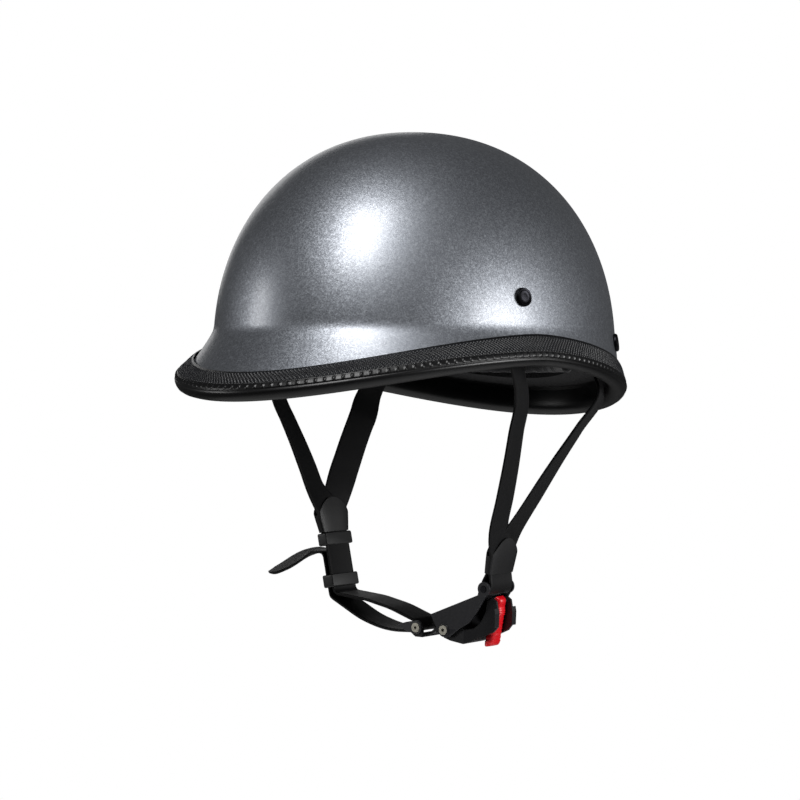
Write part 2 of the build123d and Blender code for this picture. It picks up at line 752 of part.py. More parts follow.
for side in (1, -1):
    taper = [
        (tab_eye_x - lever_half_width, chin_y + side * lever_half_width),
        (tab_bar_x + tab_eye_reach, chin_y + side * lever_end_half),
        (tab_bar_x + tab_eye_reach, chin_y + side * 2 * lever_half_width),
        (tab_eye_x - lever_half_width, chin_y + side * 2 * lever_half_width),
    ]
    corner = Face(Wire.make_polygon([Vector(x, y, pin_z - cut_over) for x, y in taper]))
    lever = lever - extrude(corner, 2 * cut_over, dir=(0, 0, 1))
notch_from = near_pin(lever_shares[3:4])[0]
notch_to = near_pin(lever_shares[4:5])[0]
notch_run = Vector(notch_to[0] - notch_from[0], 0, notch_to[1] - notch_from[1]).normalized()
for k in range(notch_count):
    at = Vector(notch_from[0], 0, notch_from[1]) + notch_run * notch_pitch * (k + 0.5)
    lever = lever - rod(at.X, at.Z, notch_radius, chin_y - cut_over, chin_y + cut_over)

# Pull tab: a folded ribbon on the lever's bar, ribbed and wider at its free end.
tab_ring = tab_bar_radius + tab_bore_gap
tab_top = tab_ring + tab_ply / 3
tab_sections = []
for k in range(2 * tab_rib_count + 1):
    share = k / (2 * tab_rib_count)
    rib = tab_rib * (k % 2)
    half = tab_half_width + (tab_flare_half - tab_half_width) * share ** 1.5 + rib
    ply_half = tab_ply + (tab_ring - tab_ply / 2) * max(1 - 3 * share, 0) + rib
    x = tab_bar_x - tab_lean * share
    z = tab_bar_z - tab_top - (tab_length - tab_top) * share
    corners = [
        (x - ply_half, chin_y - half, z), (x + ply_half, chin_y - half, z),
        (x + ply_half, chin_y + half, z), (x - ply_half, chin_y + half, z),
    ]
    tab_sections.append(Wire.make_polygon(corners, close=True))
pull_tab = Solid.make_loft(tab_sections, True)
tab_low = chin_y - tab_half_width
tab_high = chin_y + tab_half_width
pull_tab = pull_tab + rod(tab_bar_x, tab_bar_z, tab_ring + tab_ply, tab_low, tab_high)
pull_tab = pull_tab - rod(tab_bar_x, tab_bar_z, tab_ring, chin_y - cut_over, chin_y + cut_over)

# Ratchet tongue: a strip on an arc about the fold line, a root web, two ears and
# the bar that the chin strap is looped round.
root_deg = pin_swing_deg + tongue_root_deg
tip_deg = pin_swing_deg + tongue_tip_deg
mid_deg = (root_deg + tip_deg) / 2


def swing_vector(radius, degrees):
    x, z = swing_point(radius, degrees)
    return Vector(x, chin_y - tongue_half_width, z)


strip_edges = [
    ThreePointArc(swing_vector(strip_inner_r, root_deg), swing_vector(strip_inner_r, mid_deg),
                  swing_vector(strip_inner_r, tip_deg)),
    Line(swing_vector(strip_inner_r, tip_deg), swing_vector(strip_outer_r, tip_deg)),
    ThreePointArc(swing_vector(strip_outer_r, tip_deg), swing_vector(strip_outer_r, mid_deg),
                  swing_vector(strip_outer_r, root_deg)),
    Line(swing_vector(strip_outer_r, root_deg), swing_vector(strip_inner_r, root_deg)),
]
tongue = extrude(Face(Wire(strip_edges)), 2 * tongue_half_width, dir=(0, 1, 0))
teeth = []
for k in range(tooth_count):
    from_deg = pin_swing_deg + tooth_first_deg + k * tooth_pitch_deg
    tooth = [
        swing_point(strip_outer_r - tooth_height / 2, from_deg),
        swing_point(tooth_tip_r, from_deg),
        swing_point(strip_outer_r, from_deg + tooth_pitch_deg * 0.9),
        swing_point(strip_outer_r - tooth_height / 2, from_deg + tooth_pitch_deg * 0.9),
    ]
    teeth.append(slab(tooth, chin_y - tongue_half_width, chin_y + tongue_half_width))
tongue = tongue + teeth
root_x = web_bar_x + wrap_r + web_thickness / 2 + slot_gap * 2
root_low = ear_z - ear_radius - tongue_strip
link = [
    (root_x, root_low + tongue_strip),
    swing_point(strip_inner_r, root_deg),
    swing_point(strip_inner_r, root_deg + 1),
    swing_point(strip_outer_r, root_deg + 1),
    swing_point(strip_outer_r, root_deg),
    (root_x + 2 * ear_wall, root_low),
    (root_x, root_low),
]
tongue = tongue + slab(link, chin_y - tongue_half_width, chin_y + tongue_half_width)
ear_outer = ear_inner + ear_wall
root_end_x = ear_x + ear_radius + tooth_clear
root_web = [(root_x, root_low), (root_x, root_low + tongue_strip), (root_end_x, root_low + tongue_strip),
            (root_end_x, root_low)]
tongue = tongue + slab(root_web, chin_y - ear_outer, chin_y + ear_outer)
ear_outline = [
    (web_bar_x, web_bar_z + wrap_r),
    (ear_x, ear_z + ear_radius),
    (root_end_x, ear_z),
    (root_end_x, root_low),
    (root_x, root_low),
    (web_bar_x, web_bar_z - wrap_r),
]
for low, high in ((-ear_outer, -ear_inner), (ear_inner, ear_outer)):
    ear = slab(ear_outline, chin_y + low, chin_y + high)
    ear = ear + rod(ear_x, ear_z, ear_radius, chin_y + low, chin_y + high)
    ear = ear + rod(web_bar_x, web_bar_z, wrap_r, chin_y + low, chin_y + high)
    tongue = tongue + ear
tongue = tongue + rod(web_bar_x, web_bar_z, web_bar_radius, chin_y - ear_outer, chin_y + ear_outer)
tongue = tongue - rod(ear_x, ear_z, pin_radius + run_gap, chin_y - cut_over, chin_y + cut_over)

# Leaf-shaped cover plates riveted to the tongue's ears, one each side.
leaf_outer = ear_outer + leaf_wall
leaf_outline = [
    (ear_x - leaf_length, ear_z + ear_radius * 0.15),
    (ear_x - leaf_length * 0.5, ear_z + ear_radius * 0.75),
    (ear_x, ear_z + ear_radius),
    (ear_x + ear_radius, ear_z),
    (ear_x, ear_z - ear_radius),
    (ear_x - leaf_length * 0.5, ear_z - ear_radius * 0.7),
]
leaves = []
tongue_rivets = []
for side in (1, -1):
    near = chin_y + side * ear_outer
    far = chin_y + side * leaf_outer
    low, high = sorted((near, far))
    leaf = slab(leaf_outline, low, high) + rod(ear_x, ear_z, ear_radius, low, high)
    leaf = leaf - rod(ear_x, ear_z, pin_radius + run_gap, chin_y - cut_over, chin_y + cut_over)
    leaves.append(leaf)
    low, high = sorted((chin_y + side * ear_inner, far + side * eyelet_height))
    rivet = rod(ear_x, ear_z, pin_radius, low, high)
    low, high = sorted((far, far + side * eyelet_height))
    rivet = rivet + rod(ear_x, ear_z, eyelet_radius, low, high)
    tongue_rivets.append(rivet - rod(ear_x, ear_z, pin_bore, chin_y - cut_over, chin_y + cut_over))

# Rivet holes through the webbing.
left_front_strap = left_front_strap - rivet_holes
left_rear_strap = left_rear_strap - rivet_holes
right_front_stub = right_front_stub - rivet_holes
right_rear_stub = right_rear_stub - rivet_holes

nodes = {
    "outer_shell": shell,
    "edge_trim": trim,
    "foam_liner": liner,
    "brow_pad": brow_pad,
    "left_side_pad": left_pad,
    "right_side_pad": right_pad,
    "nape_pad": nape_pad,
    "crown_pad": crown_pad,
    "nape_snap": snap,
    "shell_rivets": Compound(rivets),
    "rivet_washers": Compound(washers),
    "left_front_strap": left_front_strap,
    "left_rear_strap": left_rear_strap,
    "left_divider": left_divider,
    "right_front_anchor": right_front_stub,
    "right_rear_anchor": right_rear_stub,
    "buckle_housing": housing,
    "strap_bar": strap_bar,
    "lever_pin": lever_pin,
    "lever_spring": spring,
    "buckle_lever": lever,
    "pull_tab": pull_tab,
    "chin_strap": chin_strap,
    "right_rear_strap": right_rear_strap,
    "right_divider": right_divider,
    "right_keeper": right_keeper,
    "chin_slider": chin_slider,
    "ratchet_tongue": tongue,
    "tongue_leaves": Compound(leaves),
    "tongue_rivets": Compound(tongue_rivets),
}
for name, shape in nodes.items():
    export_step(shape, "parts/" + name + ".step")
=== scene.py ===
import bisect
import bmesh
import bpy
import math
from mathutils import Matrix, Vector


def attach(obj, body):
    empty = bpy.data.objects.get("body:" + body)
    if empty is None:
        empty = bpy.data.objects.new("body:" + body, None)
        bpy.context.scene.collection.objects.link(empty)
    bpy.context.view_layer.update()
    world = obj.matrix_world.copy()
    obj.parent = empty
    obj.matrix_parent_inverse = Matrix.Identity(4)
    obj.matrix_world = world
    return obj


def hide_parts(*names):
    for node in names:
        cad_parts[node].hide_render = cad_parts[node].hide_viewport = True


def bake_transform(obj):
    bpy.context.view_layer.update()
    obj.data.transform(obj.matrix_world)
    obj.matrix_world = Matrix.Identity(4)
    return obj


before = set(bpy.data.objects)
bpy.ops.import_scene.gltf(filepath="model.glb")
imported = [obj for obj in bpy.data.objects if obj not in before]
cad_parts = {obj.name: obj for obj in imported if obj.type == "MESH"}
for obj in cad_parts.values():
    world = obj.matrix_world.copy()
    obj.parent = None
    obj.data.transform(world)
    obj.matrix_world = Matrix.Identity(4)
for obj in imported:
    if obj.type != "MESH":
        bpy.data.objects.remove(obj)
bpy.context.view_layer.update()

# Camera. It stands to the front left of the helmet, level with the rim,
# and looks along the helmet's side with a long lens.
camera_turn = math.radians(38.43)
camera_rise = math.radians(0.925)
camera_distance = 1.3
aim_across = -0.0103
aim_along = -0.0021
aim_height = -0.0274

view_right = Vector((math.cos(camera_turn), math.sin(camera_turn), 0))
view_back = Vector((
    math.sin(camera_turn) * math.cos(camera_rise),
    -math.cos(camera_turn) * math.cos(camera_rise),
    math.sin(camera_rise),
))
view_up = view_back.cross(view_right)
aim = view_right * aim_across + Vector((0, aim_along, aim_height))
lens = bpy.data.cameras.new("camera")
lens.lens = 94.6
lens.sensor_width = 36
camera = bpy.data.objects.new("camera", lens)
camera.matrix_world = (
    Matrix.Translation(aim + view_back * camera_distance)
    @ Matrix((view_right, view_up, view_back)).transposed().to_4x4()
)
bpy.context.scene.collection.objects.link(camera)
bpy.context.scene.camera = camera


# Studio. A pale round floor well below the hanging strap, a softbox above, one on each
# side, a weak one behind and a white surround that lights the object only a little.
bpy.context.scene.view_settings.view_transform = "Standard"
fill_strength = 0.05
floor_radius = 1.2
floor_depth = 1.0


def linear(code):
    """The linear colour of an sRGB hex code."""
    shares = [int(code[k:k + 2], 16) / 255 for k in (1, 3, 5)]
    return [s / 12.92 if s < 0.04045 else ((s + 0.055) / 1.055) ** 2.4 for s in shares] + [1]


def add(finish, kind, values=None, links=None, **settings):
    """One node with its settings, its sockets' values and its links."""
    node = finish.node_tree.nodes.new(kind)
    for name, value in settings.items():
        setattr(node, name, value)
    for name, value in (values or {}).items():
        node.inputs[name].default_value = value
    for name, source in (links or {}).items():
        finish.node_tree.links.new(source, node.inputs[name])
    return node


def new_finish(name, values):
    """A material named after the real one, and its shader with these values."""
    finish = bpy.data.materials.new(name)
    finish.use_nodes = True
    shader = finish.node_tree.nodes["Principled BSDF"]
    for socket, value in values.items():
        shader.inputs[socket].default_value = value
    return finish, shader


def softbox(name, across, up, back, distance, width, height, power):
    """An area lamp; across, up and back say where it stands as the camera sees it."""
    lamp = bpy.data.lights.new(name, "AREA")
    lamp.shape = "RECTANGLE"
    lamp.size = width
    lamp.size_y = height
    lamp.energy = power
    way = (view_right * across + view_up * up + view_back * back).normalized()
    box = bpy.data.objects.new(name, lamp)
    box.matrix_world = (
        Matrix.Translation(aim + way * distance)
        @ way.to_track_quat("Z", "Y").to_matrix().to_4x4()
    )
    bpy.context.scene.collection.objects.link(box)


softbox("key_softbox", -0.12, 0.78, 0.60, 1.5, 0.6, 0.9, 25)
softbox("right_softbox", 0.92, 0.10, 0.38, 1.6, 0.7, 0.6, 21)
softbox("left_softbox", -0.97, 0.20, 0.08, 1.8, 0.5, 0.7, 8)
softbox("back_fill", -0.20, 0.30, -0.93, 2.2, 1.0, 0.8, 3)

world = bpy.data.worlds.new("studio")
world.use_nodes = True
surround = world.node_tree.nodes["Background"]
rays = add(world, "ShaderNodeLightPath")
strength = add(world, "ShaderNodeMapRange", {"To Min": fill_strength, "To Max": 1.0},
               {"Value": rays.outputs["Is Camera Ray"]})
surround.inputs["Color"].default_value = linear("#ffffff")
world.node_tree.links.new(strength.outputs["Result"], surround.inputs["Strength"])
bpy.context.scene.world = world

# Painted studio floor: matt and nearly white, so that it stays even under the helmet.
floor_finish = new_finish("painted studio floor", {
    "Base Color": linear("#f7f7f7"), "Roughness": 0.9,
})[0]
floor_mesh = bmesh.new()
bmesh.ops.create_circle(floor_mesh, cap_ends=True, segments=96, radius=floor_radius)
bmesh.ops.translate(floor_mesh, vec=(0, 0, -floor_depth), verts=floor_mesh.verts)
floor_data = bpy.data.meshes.new("floor")
floor_mesh.to_mesh(floor_data)
floor_mesh.free()
floor_data.materials.append(floor_finish)
floor = bpy.data.objects.new("floor", floor_data)
bpy.context.scene.collection.objects.link(floor)

# Outer shell. A moulded fibreglass dome, a superellipse in every section, which
# flares into a short brim below a soft crease; sprayed with silver flake and clear coat.
MM = 0.001
shell_half_width = 111.0
shell_half_length = 142.5
shell_height = 137.0
shell_wall = 4.0
dome_power = 2.18
crease_height = 16.0
brim_reach = 21.2
brim_drop = 28.0
brim_curve_power = 1.25
brim_spread_power = 1.16
rim_peak_y = -32.0
rim_peak_height = 12.3
rim_front_y = -168.0
rim_front_height = -7.5
rim_front_power = 1.7
rim_back_y = 147.0
rim_back_height = -22.0
rim_back_power = 1.5
rim_passes = 12
trim_lap = 10.0
edge_gap = 1.0
shell_columns = 180
shell_rows = 72


def dome_share(z, height):
    """How wide the dome still is at a height, as a share of its width at the crease."""
    return (1 - min(max(z, 0) / height, 1) ** dome_power) ** (1 / dome_power)


def brim_share(phi):
    """How far the brim flares at a turn from the front, where it is 1."""
    return ((1 + math.cos(phi)) / 2) ** brim_spread_power


def brim_slope(phi, z):
    """How far the wall moves out for each millimetre down."""
    drop_share = max(crease_height - z, 0) / brim_drop
    steepness = brim_reach * brim_share(phi) * brim_curve_power / brim_drop
    return steepness * drop_share ** (brim_curve_power - 1)


def wall_radius(phi, z, inset, flared=True):
    """The shell's radius at a turn and height, so far inside its outer face."""
    width = shell_half_width - inset
    length = shell_half_length - inset
    plain = dome_share(z, shell_height - inset) / math.hypot(math.sin(phi) / width, math.cos(phi) / length)
    if not flared:
        return plain
    drop_share = max(crease_height - z, 0) / brim_drop
    flare = brim_reach * brim_share(phi) * drop_share ** brim_curve_power
    return plain + flare - inset * (math.hypot(1, brim_slope(phi, z)) - 1)


def wall_point(phi, z, inset, flared=True):
    radius = wall_radius(phi, z, inset, flared)
    return Vector((radius * math.sin(phi), -radius * math.cos(phi), z))


def rim_height(y):
    """The height of the trim's upper edge, highest a little before the ears."""
    if y < rim_peak_y:
        away = (rim_peak_y - y) / (rim_peak_y - rim_front_y)
        return rim_peak_height - (rim_peak_height - rim_front_height) * away ** rim_front_power
    away = (y - rim_peak_y) / (rim_back_y - rim_peak_y)
    return rim_peak_height - (rim_peak_height - rim_back_height) * away ** rim_back_power


def edge_height(phi, rise):
    """The rim's height at a turn: height and radius depend on each other, so it is refined."""
    z = rim_peak_height
    for step in range(rim_passes):
        z = rim_height(-wall_radius(phi, z, 0) * math.cos(phi)) + rise
    return z


def moved_grid(columns, rows, place):
    """A grid whose points are moved to where place puts them; edges that meet are joined."""
    bm = bmesh.new()
    bm.loops.layers.uv.new("UVMap")
    bmesh.ops.create_grid(bm, x_segments=columns, y_segments=rows, size=0.5, calc_uvs=True)
    for vert in bm.verts:
        vert.co = place(vert.co.x + 0.5, vert.co.y + 0.5)
    bmesh.ops.remove_doubles(bm, verts=bm.verts, dist=0.01)
    return bm


def make_piece(name, bm, finish, body, crease_deg=40):
    """An object from a mesh in millimetres, which rides on a body where one is named."""
    bmesh.ops.scale(bm, vec=(MM, MM, MM), verts=bm.verts)
    bmesh.ops.recalc_face_normals(bm, faces=bm.faces)
    for face in bm.faces:
        face.smooth = True
    mesh = bpy.data.meshes.new(name)
    bm.to_mesh(mesh)
    bm.free()
    mesh.set_sharp_from_angle(angle=math.radians(crease_deg))
    mesh.materials.append(finish)
    piece = bpy.data.objects.new(name, mesh)
    bpy.context.scene.collection.objects.link(piece)
    if body:
        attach(piece, body)
    return piece


def shell_place(turn_share, rise_share):
    phi = 2 * math.pi * turn_share
    start = math.asin(edge_height(phi, edge_gap - trim_lap) / shell_height)
    z = shell_height * math.sin(start + (math.pi / 2 - start) * rise_share)
    return wall_point(phi, z, 0)


# Silver flake under clear coat: each flake is its own small mirror, tilted at random, so
# the broad highlight breaks into grain while the coat above it stays smooth. Real flakes
# are about 0.15 mm wide; they are drawn four times as wide, so that they show.
flake_size = 0.0006
flake_tilt = 0.075
cloud_size = 0.0022
flake_paint, shader = new_finish("silver flake paint under clear coat", {
    "Metallic": 0.95, "Roughness": 0.47, "Coat Weight": 0.6, "Coat Roughness": 0.26, "Coat IOR": 1.5,
})
place = add(flake_paint, "ShaderNodeTexCoord").outputs["Object"]
flakes = add(flake_paint, "ShaderNodeTexVoronoi", {"Scale": 1 / flake_size}, {"Vector": place})
cloud = add(flake_paint, "ShaderNodeTexNoise", {"Scale": 1 / cloud_size, "Detail": 3.0}, {"Vector": place})
grey = add(flake_paint, "ShaderNodeSeparateColor", None, {"Color": flakes.outputs["Color"]})
grain = add(flake_paint, "ShaderNodeMath", None, {0: grey.outputs["Red"], 1: cloud.outputs["Fac"]},
            operation="MULTIPLY")
tone = add(flake_paint, "ShaderNodeValToRGB", None, {"Fac": grain.outputs[0]})
tone.color_ramp.elements[0].position = 0.05
tone.color_ramp.elements[0].color = linear("#6a6d73")
tone.color_ramp.elements[1].position = 0.75
tone.color_ramp.elements[1].color = linear("#94989e")
tilt = add(flake_paint, "ShaderNodeVectorMath", {1: (0.5, 0.5, 0.5)}, {0: flakes.outputs["Color"]},
           operation="SUBTRACT")
small_tilt = add(flake_paint, "ShaderNodeVectorMath", {"Scale": flake_tilt}, {0: tilt.outputs[0]},
                 operation="SCALE")
wall = add(flake_paint, "ShaderNodeNewGeometry").outputs["Normal"]
facet = add(flake_paint, "ShaderNodeVectorMath", None, {0: wall, 1: small_tilt.outputs[0]}, operation="ADD")
unit = add(flake_paint, "ShaderNodeVectorMath", None, {0: facet.outputs[0]}, operation="NORMALIZE")
flake_paint.node_tree.links.new(tone.outputs["Color"], shader.inputs["Base Color"])
flake_paint.node_tree.links.new(unit.outputs[0], shader.inputs["Normal"])

# Black pigmented laminate, the bare inside of the shell: satin, with the print of the
# glass mat, whose strands leave soft swellings about 4 mm wide.
strand_size = 0.004
raw_laminate, shader = new_finish("black pigmented laminate", {
    "Base Color": linear("#0d0d0e"), "Roughness": 0.5,
})
place = add(raw_laminate, "ShaderNodeTexCoord").outputs["Object"]
fibres = add(raw_laminate, "ShaderNodeTexNoise", {"Scale": 1 / strand_size, "Detail": 4.0},
             {"Vector": place})
raised = add(raw_laminate, "ShaderNodeBump", {"Strength": 0.4, "Distance": 0.0003},
             {"Height": fibres.outputs["Fac"]})
raw_laminate.node_tree.links.new(raised.outputs["Normal"], shader.inputs["Normal"])

shell_mesh = moved_grid(shell_columns, shell_rows, shell_place)
shell = make_piece("painted_shell", shell_mesh, flake_paint, "shell_body")
shell.data.materials.append(raw_laminate)
wall_modifier = shell.modifiers.new("wall", "SOLIDIFY")
wall_modifier.thickness = shell_wall * MM
wall_modifier.offset = -1
wall_modifier.material_offset = 1
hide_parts("outer_shell")

# Edge trim. An extruded vinyl channel pushed over the shell's edge: a plain lip, a band
# of pressed snakeskin, a row of short ribs like stitches and a smooth rolled bead.
fit_gap = 0.4
trim_lip = 1.2
trim_leg = 2.9
trim_bead = 4.0
trim_bead_drop = 8.4
rib_pitch = 4.9
rib_height = 0.5
cell_size = 2.3
cell_relief = 0.32
groove_depth = 0.5
band_start, band_end = 0.045, 0.355
band_fade = 0.02
rib_start, rib_end = 0.36, 0.445
groove_end = 0.475
rim_steps = 720
section_look = 0.01
trim_columns = 1780
skin_rows = 52
fine_share = 0.48
fine_row_share = 0.77

trim_inner = -shell_wall - fit_gap
skin_points = [
    (fit_gap + trim_lip, -trim_lap),
    (fit_gap + trim_leg * 0.8, -trim_lap * 0.6),
    (fit_gap + trim_leg, -trim_lap * 0.2),
    (trim_bead, trim_bead_drop * 0.35),
    (trim_bead * 0.62, trim_bead_drop * 0.82),
    (trim_inner / 2, trim_bead_drop),
    (trim_inner - trim_leg * 0.8, trim_bead_drop * 0.6),
    (trim_inner - trim_leg, 0),
    (trim_inner - trim_lip, -trim_lap * 0.8),
]


def through(points, share):
    """A point on the smooth curve through all points, share running from 0 to 1."""
    last = len(points) - 1
    at = min(share * last, last - 1e-6)
    k = int(at)
    t = at - k
    a, b, c, d = (Vector(points[min(max(k + j, 0), last)]) for j in (-1, 0, 1, 2))
    bend = 2 * a - 5 * b + 4 * c - d
    twist = 3 * b - a - 3 * c + d
    return 0.5 * (2 * b + (c - a) * t + bend * t ** 2 + twist * t ** 3)


def edge_spot(phi):
    """Radius and height of the shell's own edge, inside the channel."""
    z = edge_height(phi, -trim_lap)
    return wall_radius(phi, z, 0), z


def even_turns(count):
    """Angles that divide the rim's own length evenly."""
    turns = [2 * math.pi * k / rim_steps for k in range(rim_steps + 1)]
    spots = []
    for turn in turns:
        radius, z = edge_spot(turn)
        spots.append(Vector((radius * math.sin(turn), -radius * math.cos(turn), z)))
    run = [0]
    for before, after in zip(spots, spots[1:]):
        run.append(run[-1] + (after - before).length)
    angles = []
    for k in range(count + 1):
        goal = run[-1] * k / count
        j = min(max(bisect.bisect_left(run, goal), 1), rim_steps)
        part = (turns[j] - turns[j - 1]) * (goal - run[j - 1])
        angles.append(turns[j - 1] + part / (run[j] - run[j - 1]))
    return angles, run[-1]


def section_share(row_share):
    """The rows of the mesh lie close together where the pattern is pressed."""
    if row_share < fine_row_share:
        return row_share / fine_row_share * fine_share
    return fine_share + (row_share - fine_row_share) / (1 - fine_row_share) * (1 - fine_share)


def section_row(row_share):
    """One row of the channel's section: its share, its place and the way out of it."""
    share = section_share(row_share)
    spot = through(skin_points, share)
    behind = through(skin_points, max(share - section_look, 0))
    ahead = through(skin_points, min(share + section_look, 1)) - behind
    return share, spot, Vector((ahead.y, -ahead.x)).normalized()


trim_turns, trim_length = even_turns(trim_columns)
trim_edges = [(edge_spot(a), brim_slope(a, edge_spot(a)[1])) for a in trim_turns]
trim_section = [section_row(k / skin_rows) for k in range(skin_rows + 1)]
fine_length = 0
for before, after in zip(trim_section, trim_section[1:]):
    if after[0] <= fine_share:
        fine_length += (after[1] - before[1]).length
rib_count = round(trim_length / rib_pitch)
cell_count = round(trim_length / cell_size)


def pressed_relief(turn_share, share):
    """How far the pattern stands out of the plain section, in millimetres."""
    if band_start < share < band_end:
        fade = min((share - band_start) / band_fade, (band_end - share) / band_fade, 1)
        along = math.pi * cell_count * turn_share
        down = math.pi * share / fine_share * fine_length / cell_size
        return cell_relief * fade * abs(math.sin(along + down) * math.sin(along - down))
    if rib_start < share < rib_end:
        wave = max(math.cos(2 * math.pi * rib_count * turn_share), 0) ** 3
        return rib_height * wave * math.sin(math.pi * (share - rib_start) / (rib_end - rib_start))
    if rib_end <= share < groove_end:
        return -groove_depth * math.sin(math.pi * (share - rib_end) / (groove_end - rib_end))
    return 0.0


def trim_place(turn_share, row_share):
    column = round(turn_share * trim_columns)
    phi = trim_turns[column]
    (radius, z), slope = trim_edges[column]
    share, spot, outward = trim_section[round(row_share * skin_rows)]
    across, down = spot + outward * pressed_relief(turn_share, share)
    lean = math.hypot(1, slope)
    r = radius + across / lean + down * slope / lean
    return Vector((r * math.sin(phi), -r * math.cos(phi), z + across * slope / lean - down / lean))


# Black PVC with a snakeskin grain: rows of raised diamond cells that catch the light one
# by one, and a satin surface on the lip and bead. The base colour is lighter on the raised
# cells, a painted highlight, and darkest in the creases between them, a painted shade.
snakeskin, shader = new_finish("snakeskin-grained black PVC", {
    "Roughness": 0.36, "Specular IOR Level": 0.35,
})
flat = add(snakeskin, "ShaderNodeUVMap", uv_map="UVMap").outputs["UV"]
across_up = add(snakeskin, "ShaderNodeSeparateXYZ", None, {"Vector": flat})
along = add(snakeskin, "ShaderNodeMath", {1: math.pi * cell_count},
            {0: across_up.outputs["X"]}, operation="MULTIPLY")
down = add(snakeskin, "ShaderNodeMath", {1: math.pi * fine_length / fine_row_share / cell_size},
           {0: across_up.outputs["Y"]}, operation="MULTIPLY")
waves = []
for way in ("ADD", "SUBTRACT"):
    turns = add(snakeskin, "ShaderNodeMath", None, {0: along.outputs[0], 1: down.outputs[0]}, operation=way)
    waves.append(add(snakeskin, "ShaderNodeMath", None, {0: turns.outputs[0]}, operation="SINE"))
product = add(snakeskin, "ShaderNodeMath", None, {0: waves[0].outputs[0], 1: waves[1].outputs[0]},
              operation="MULTIPLY")
cells = add(snakeskin, "ShaderNodeMath", None, {0: product.outputs[0]}, operation="ABSOLUTE")
row_scale = fine_row_share / fine_share
band_top = add(snakeskin, "ShaderNodeMapRange", {
    "From Min": band_start * row_scale, "From Max": (band_start + band_fade) * row_scale,
}, {"Value": across_up.outputs["Y"]})
band_foot = add(snakeskin, "ShaderNodeMapRange", {
    "From Min": band_end * row_scale, "From Max": (band_end - band_fade) * row_scale,
}, {"Value": across_up.outputs["Y"]})
band = add(snakeskin, "ShaderNodeMath", None, {0: band_top.outputs[0], 1: band_foot.outputs[0]},
           operation="MULTIPLY")
pressed = add(snakeskin, "ShaderNodeMath", None, {0: cells.outputs[0], 1: band.outputs[0]},
              operation="MULTIPLY")
raised = add(snakeskin, "ShaderNodeBump", {"Strength": 0.8, "Distance": 0.0005},
             {"Height": pressed.outputs[0]})
# Painted highlight and shade: the colour is lighter where the cells stand up and darkest in the creases
# between them.
painted_cell_highlight = add(snakeskin, "ShaderNodeMix", {"A": linear("#030304"), "B": linear("#17181c")},
                {"Factor": pressed.outputs[0]}, data_type="RGBA")
snakeskin.node_tree.links.new(painted_cell_highlight.outputs["Result"], shader.inputs["Base Color"])
snakeskin.node_tree.links.new(raised.outputs["Normal"], shader.inputs["Normal"])

trim_mesh = moved_grid(trim_columns, skin_rows, trim_place)
trim = make_piece("snakeskin_trim", trim_mesh, snakeskin, "shell_body", crease_deg=60)
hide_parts("edge_trim")

# Shell rivets. Low caps of blackened steel with a raised rim, two a side, set square to
# the shell; each shank runs through shell, webbing and washer to a small head.
rivet_spots = ((70.4, 33.0), (129.0, 8.0))
cap_radius = 5.6
cap_height = 2.2
shank_radius = 2.4
rivet_grip = 7.9
head_radius = 3.6
head_height = 1.0
rivet_edge = 0.3
cap_lift = 0.05
normal_rise = shell_height / 200


def wall_tangent(phi, z):
    """The level way along the shell's wall."""
    step = math.radians(0.5)
    return (wall_point(phi + step, z, 0) - wall_point(phi - step, z, 0)).normalized()


def wall_normal(phi, z):
    """The way straight out of the shell's wall."""
    up = wall_point(phi, z + normal_rise, 0) - wall_point(phi, z - normal_rise, 0)
    out = wall_tangent(phi, z).cross(up).normalized()
    return out if out.dot(Vector((math.sin(phi), -math.cos(phi), 0))) > 0 else -out


def turned(bm, profile, base, axis, steps=40):
    """Adds a solid of revolution; profile points are (radius, height along the axis)."""
    before = set(bm.verts)
    verts = [bm.verts.new((r, 0, h)) for r, h in profile]
    edges = [bm.edges.new(pair) for pair in zip(verts, verts[1:])]
    bmesh.ops.spin(bm, geom=verts + edges, cent=(0, 0, 0), axis=(0, 0, 1), angle=2 * math.pi, steps=steps,
                   use_merge=True)
    fresh = [v for v in bm.verts if v not in before]
    turn = axis.to_track_quat("Z", "Y").to_matrix().to_4x4()
    bmesh.ops.transform(bm, matrix=Matrix.Translation(base) @ turn, verts=fresh)
    bmesh.ops.remove_doubles(bm, verts=fresh, dist=0.001)


# The cap's curve from its middle outwards, in shares of its radius and height.
cap_curve = [
    (0, 0.86), (0.35, 0.84), (0.6, 0.78), (0.66, 0.84), (0.76, 0.96), (0.86, 1), (0.95, 0.84),
    (1, 0.5), (0.99, 0.2),
]
rivet_profile = [(cap_radius * r, cap_height * h) for r, h in cap_curve] + [
    (cap_radius - rivet_edge, cap_lift), (shank_radius, cap_lift), (shank_radius, -rivet_grip),
    (head_radius, -rivet_grip), (head_radius - rivet_edge, -rivet_grip - head_height * 0.7),
    (0, -rivet_grip - head_height),
]

# Blackened steel: a dark metal with a soft gleam, rubbed shinier here and there.
rub_size = 0.0016
blackened_steel, shader = new_finish("blackened steel", {
    "Base Color": linear("#1c1c1f"), "Metallic": 1.0,
})
place = add(blackened_steel, "ShaderNodeTexCoord").outputs["Object"]
wear = add(blackened_steel, "ShaderNodeTexNoise", {"Scale": 1 / rub_size, "Detail": 4.0}, {"Vector": place})
gloss = add(blackened_steel, "ShaderNodeMapRange", {"To Min": 0.24, "To Max": 0.42},
            {"Value": wear.outputs["Fac"]})
blackened_steel.node_tree.links.new(gloss.outputs["Result"], shader.inputs["Roughness"])
rivet_mesh = bmesh.new()
for side in (1, -1):
    for degrees, z in rivet_spots:
        phi = side * math.radians(degrees)
        turned(rivet_mesh, rivet_profile, wall_point(phi, z, 0), wall_normal(phi, z))
rivets = make_piece("shell_rivet_caps", rivet_mesh, blackened_steel, "shell_body", crease_deg=30)
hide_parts("shell_rivets")


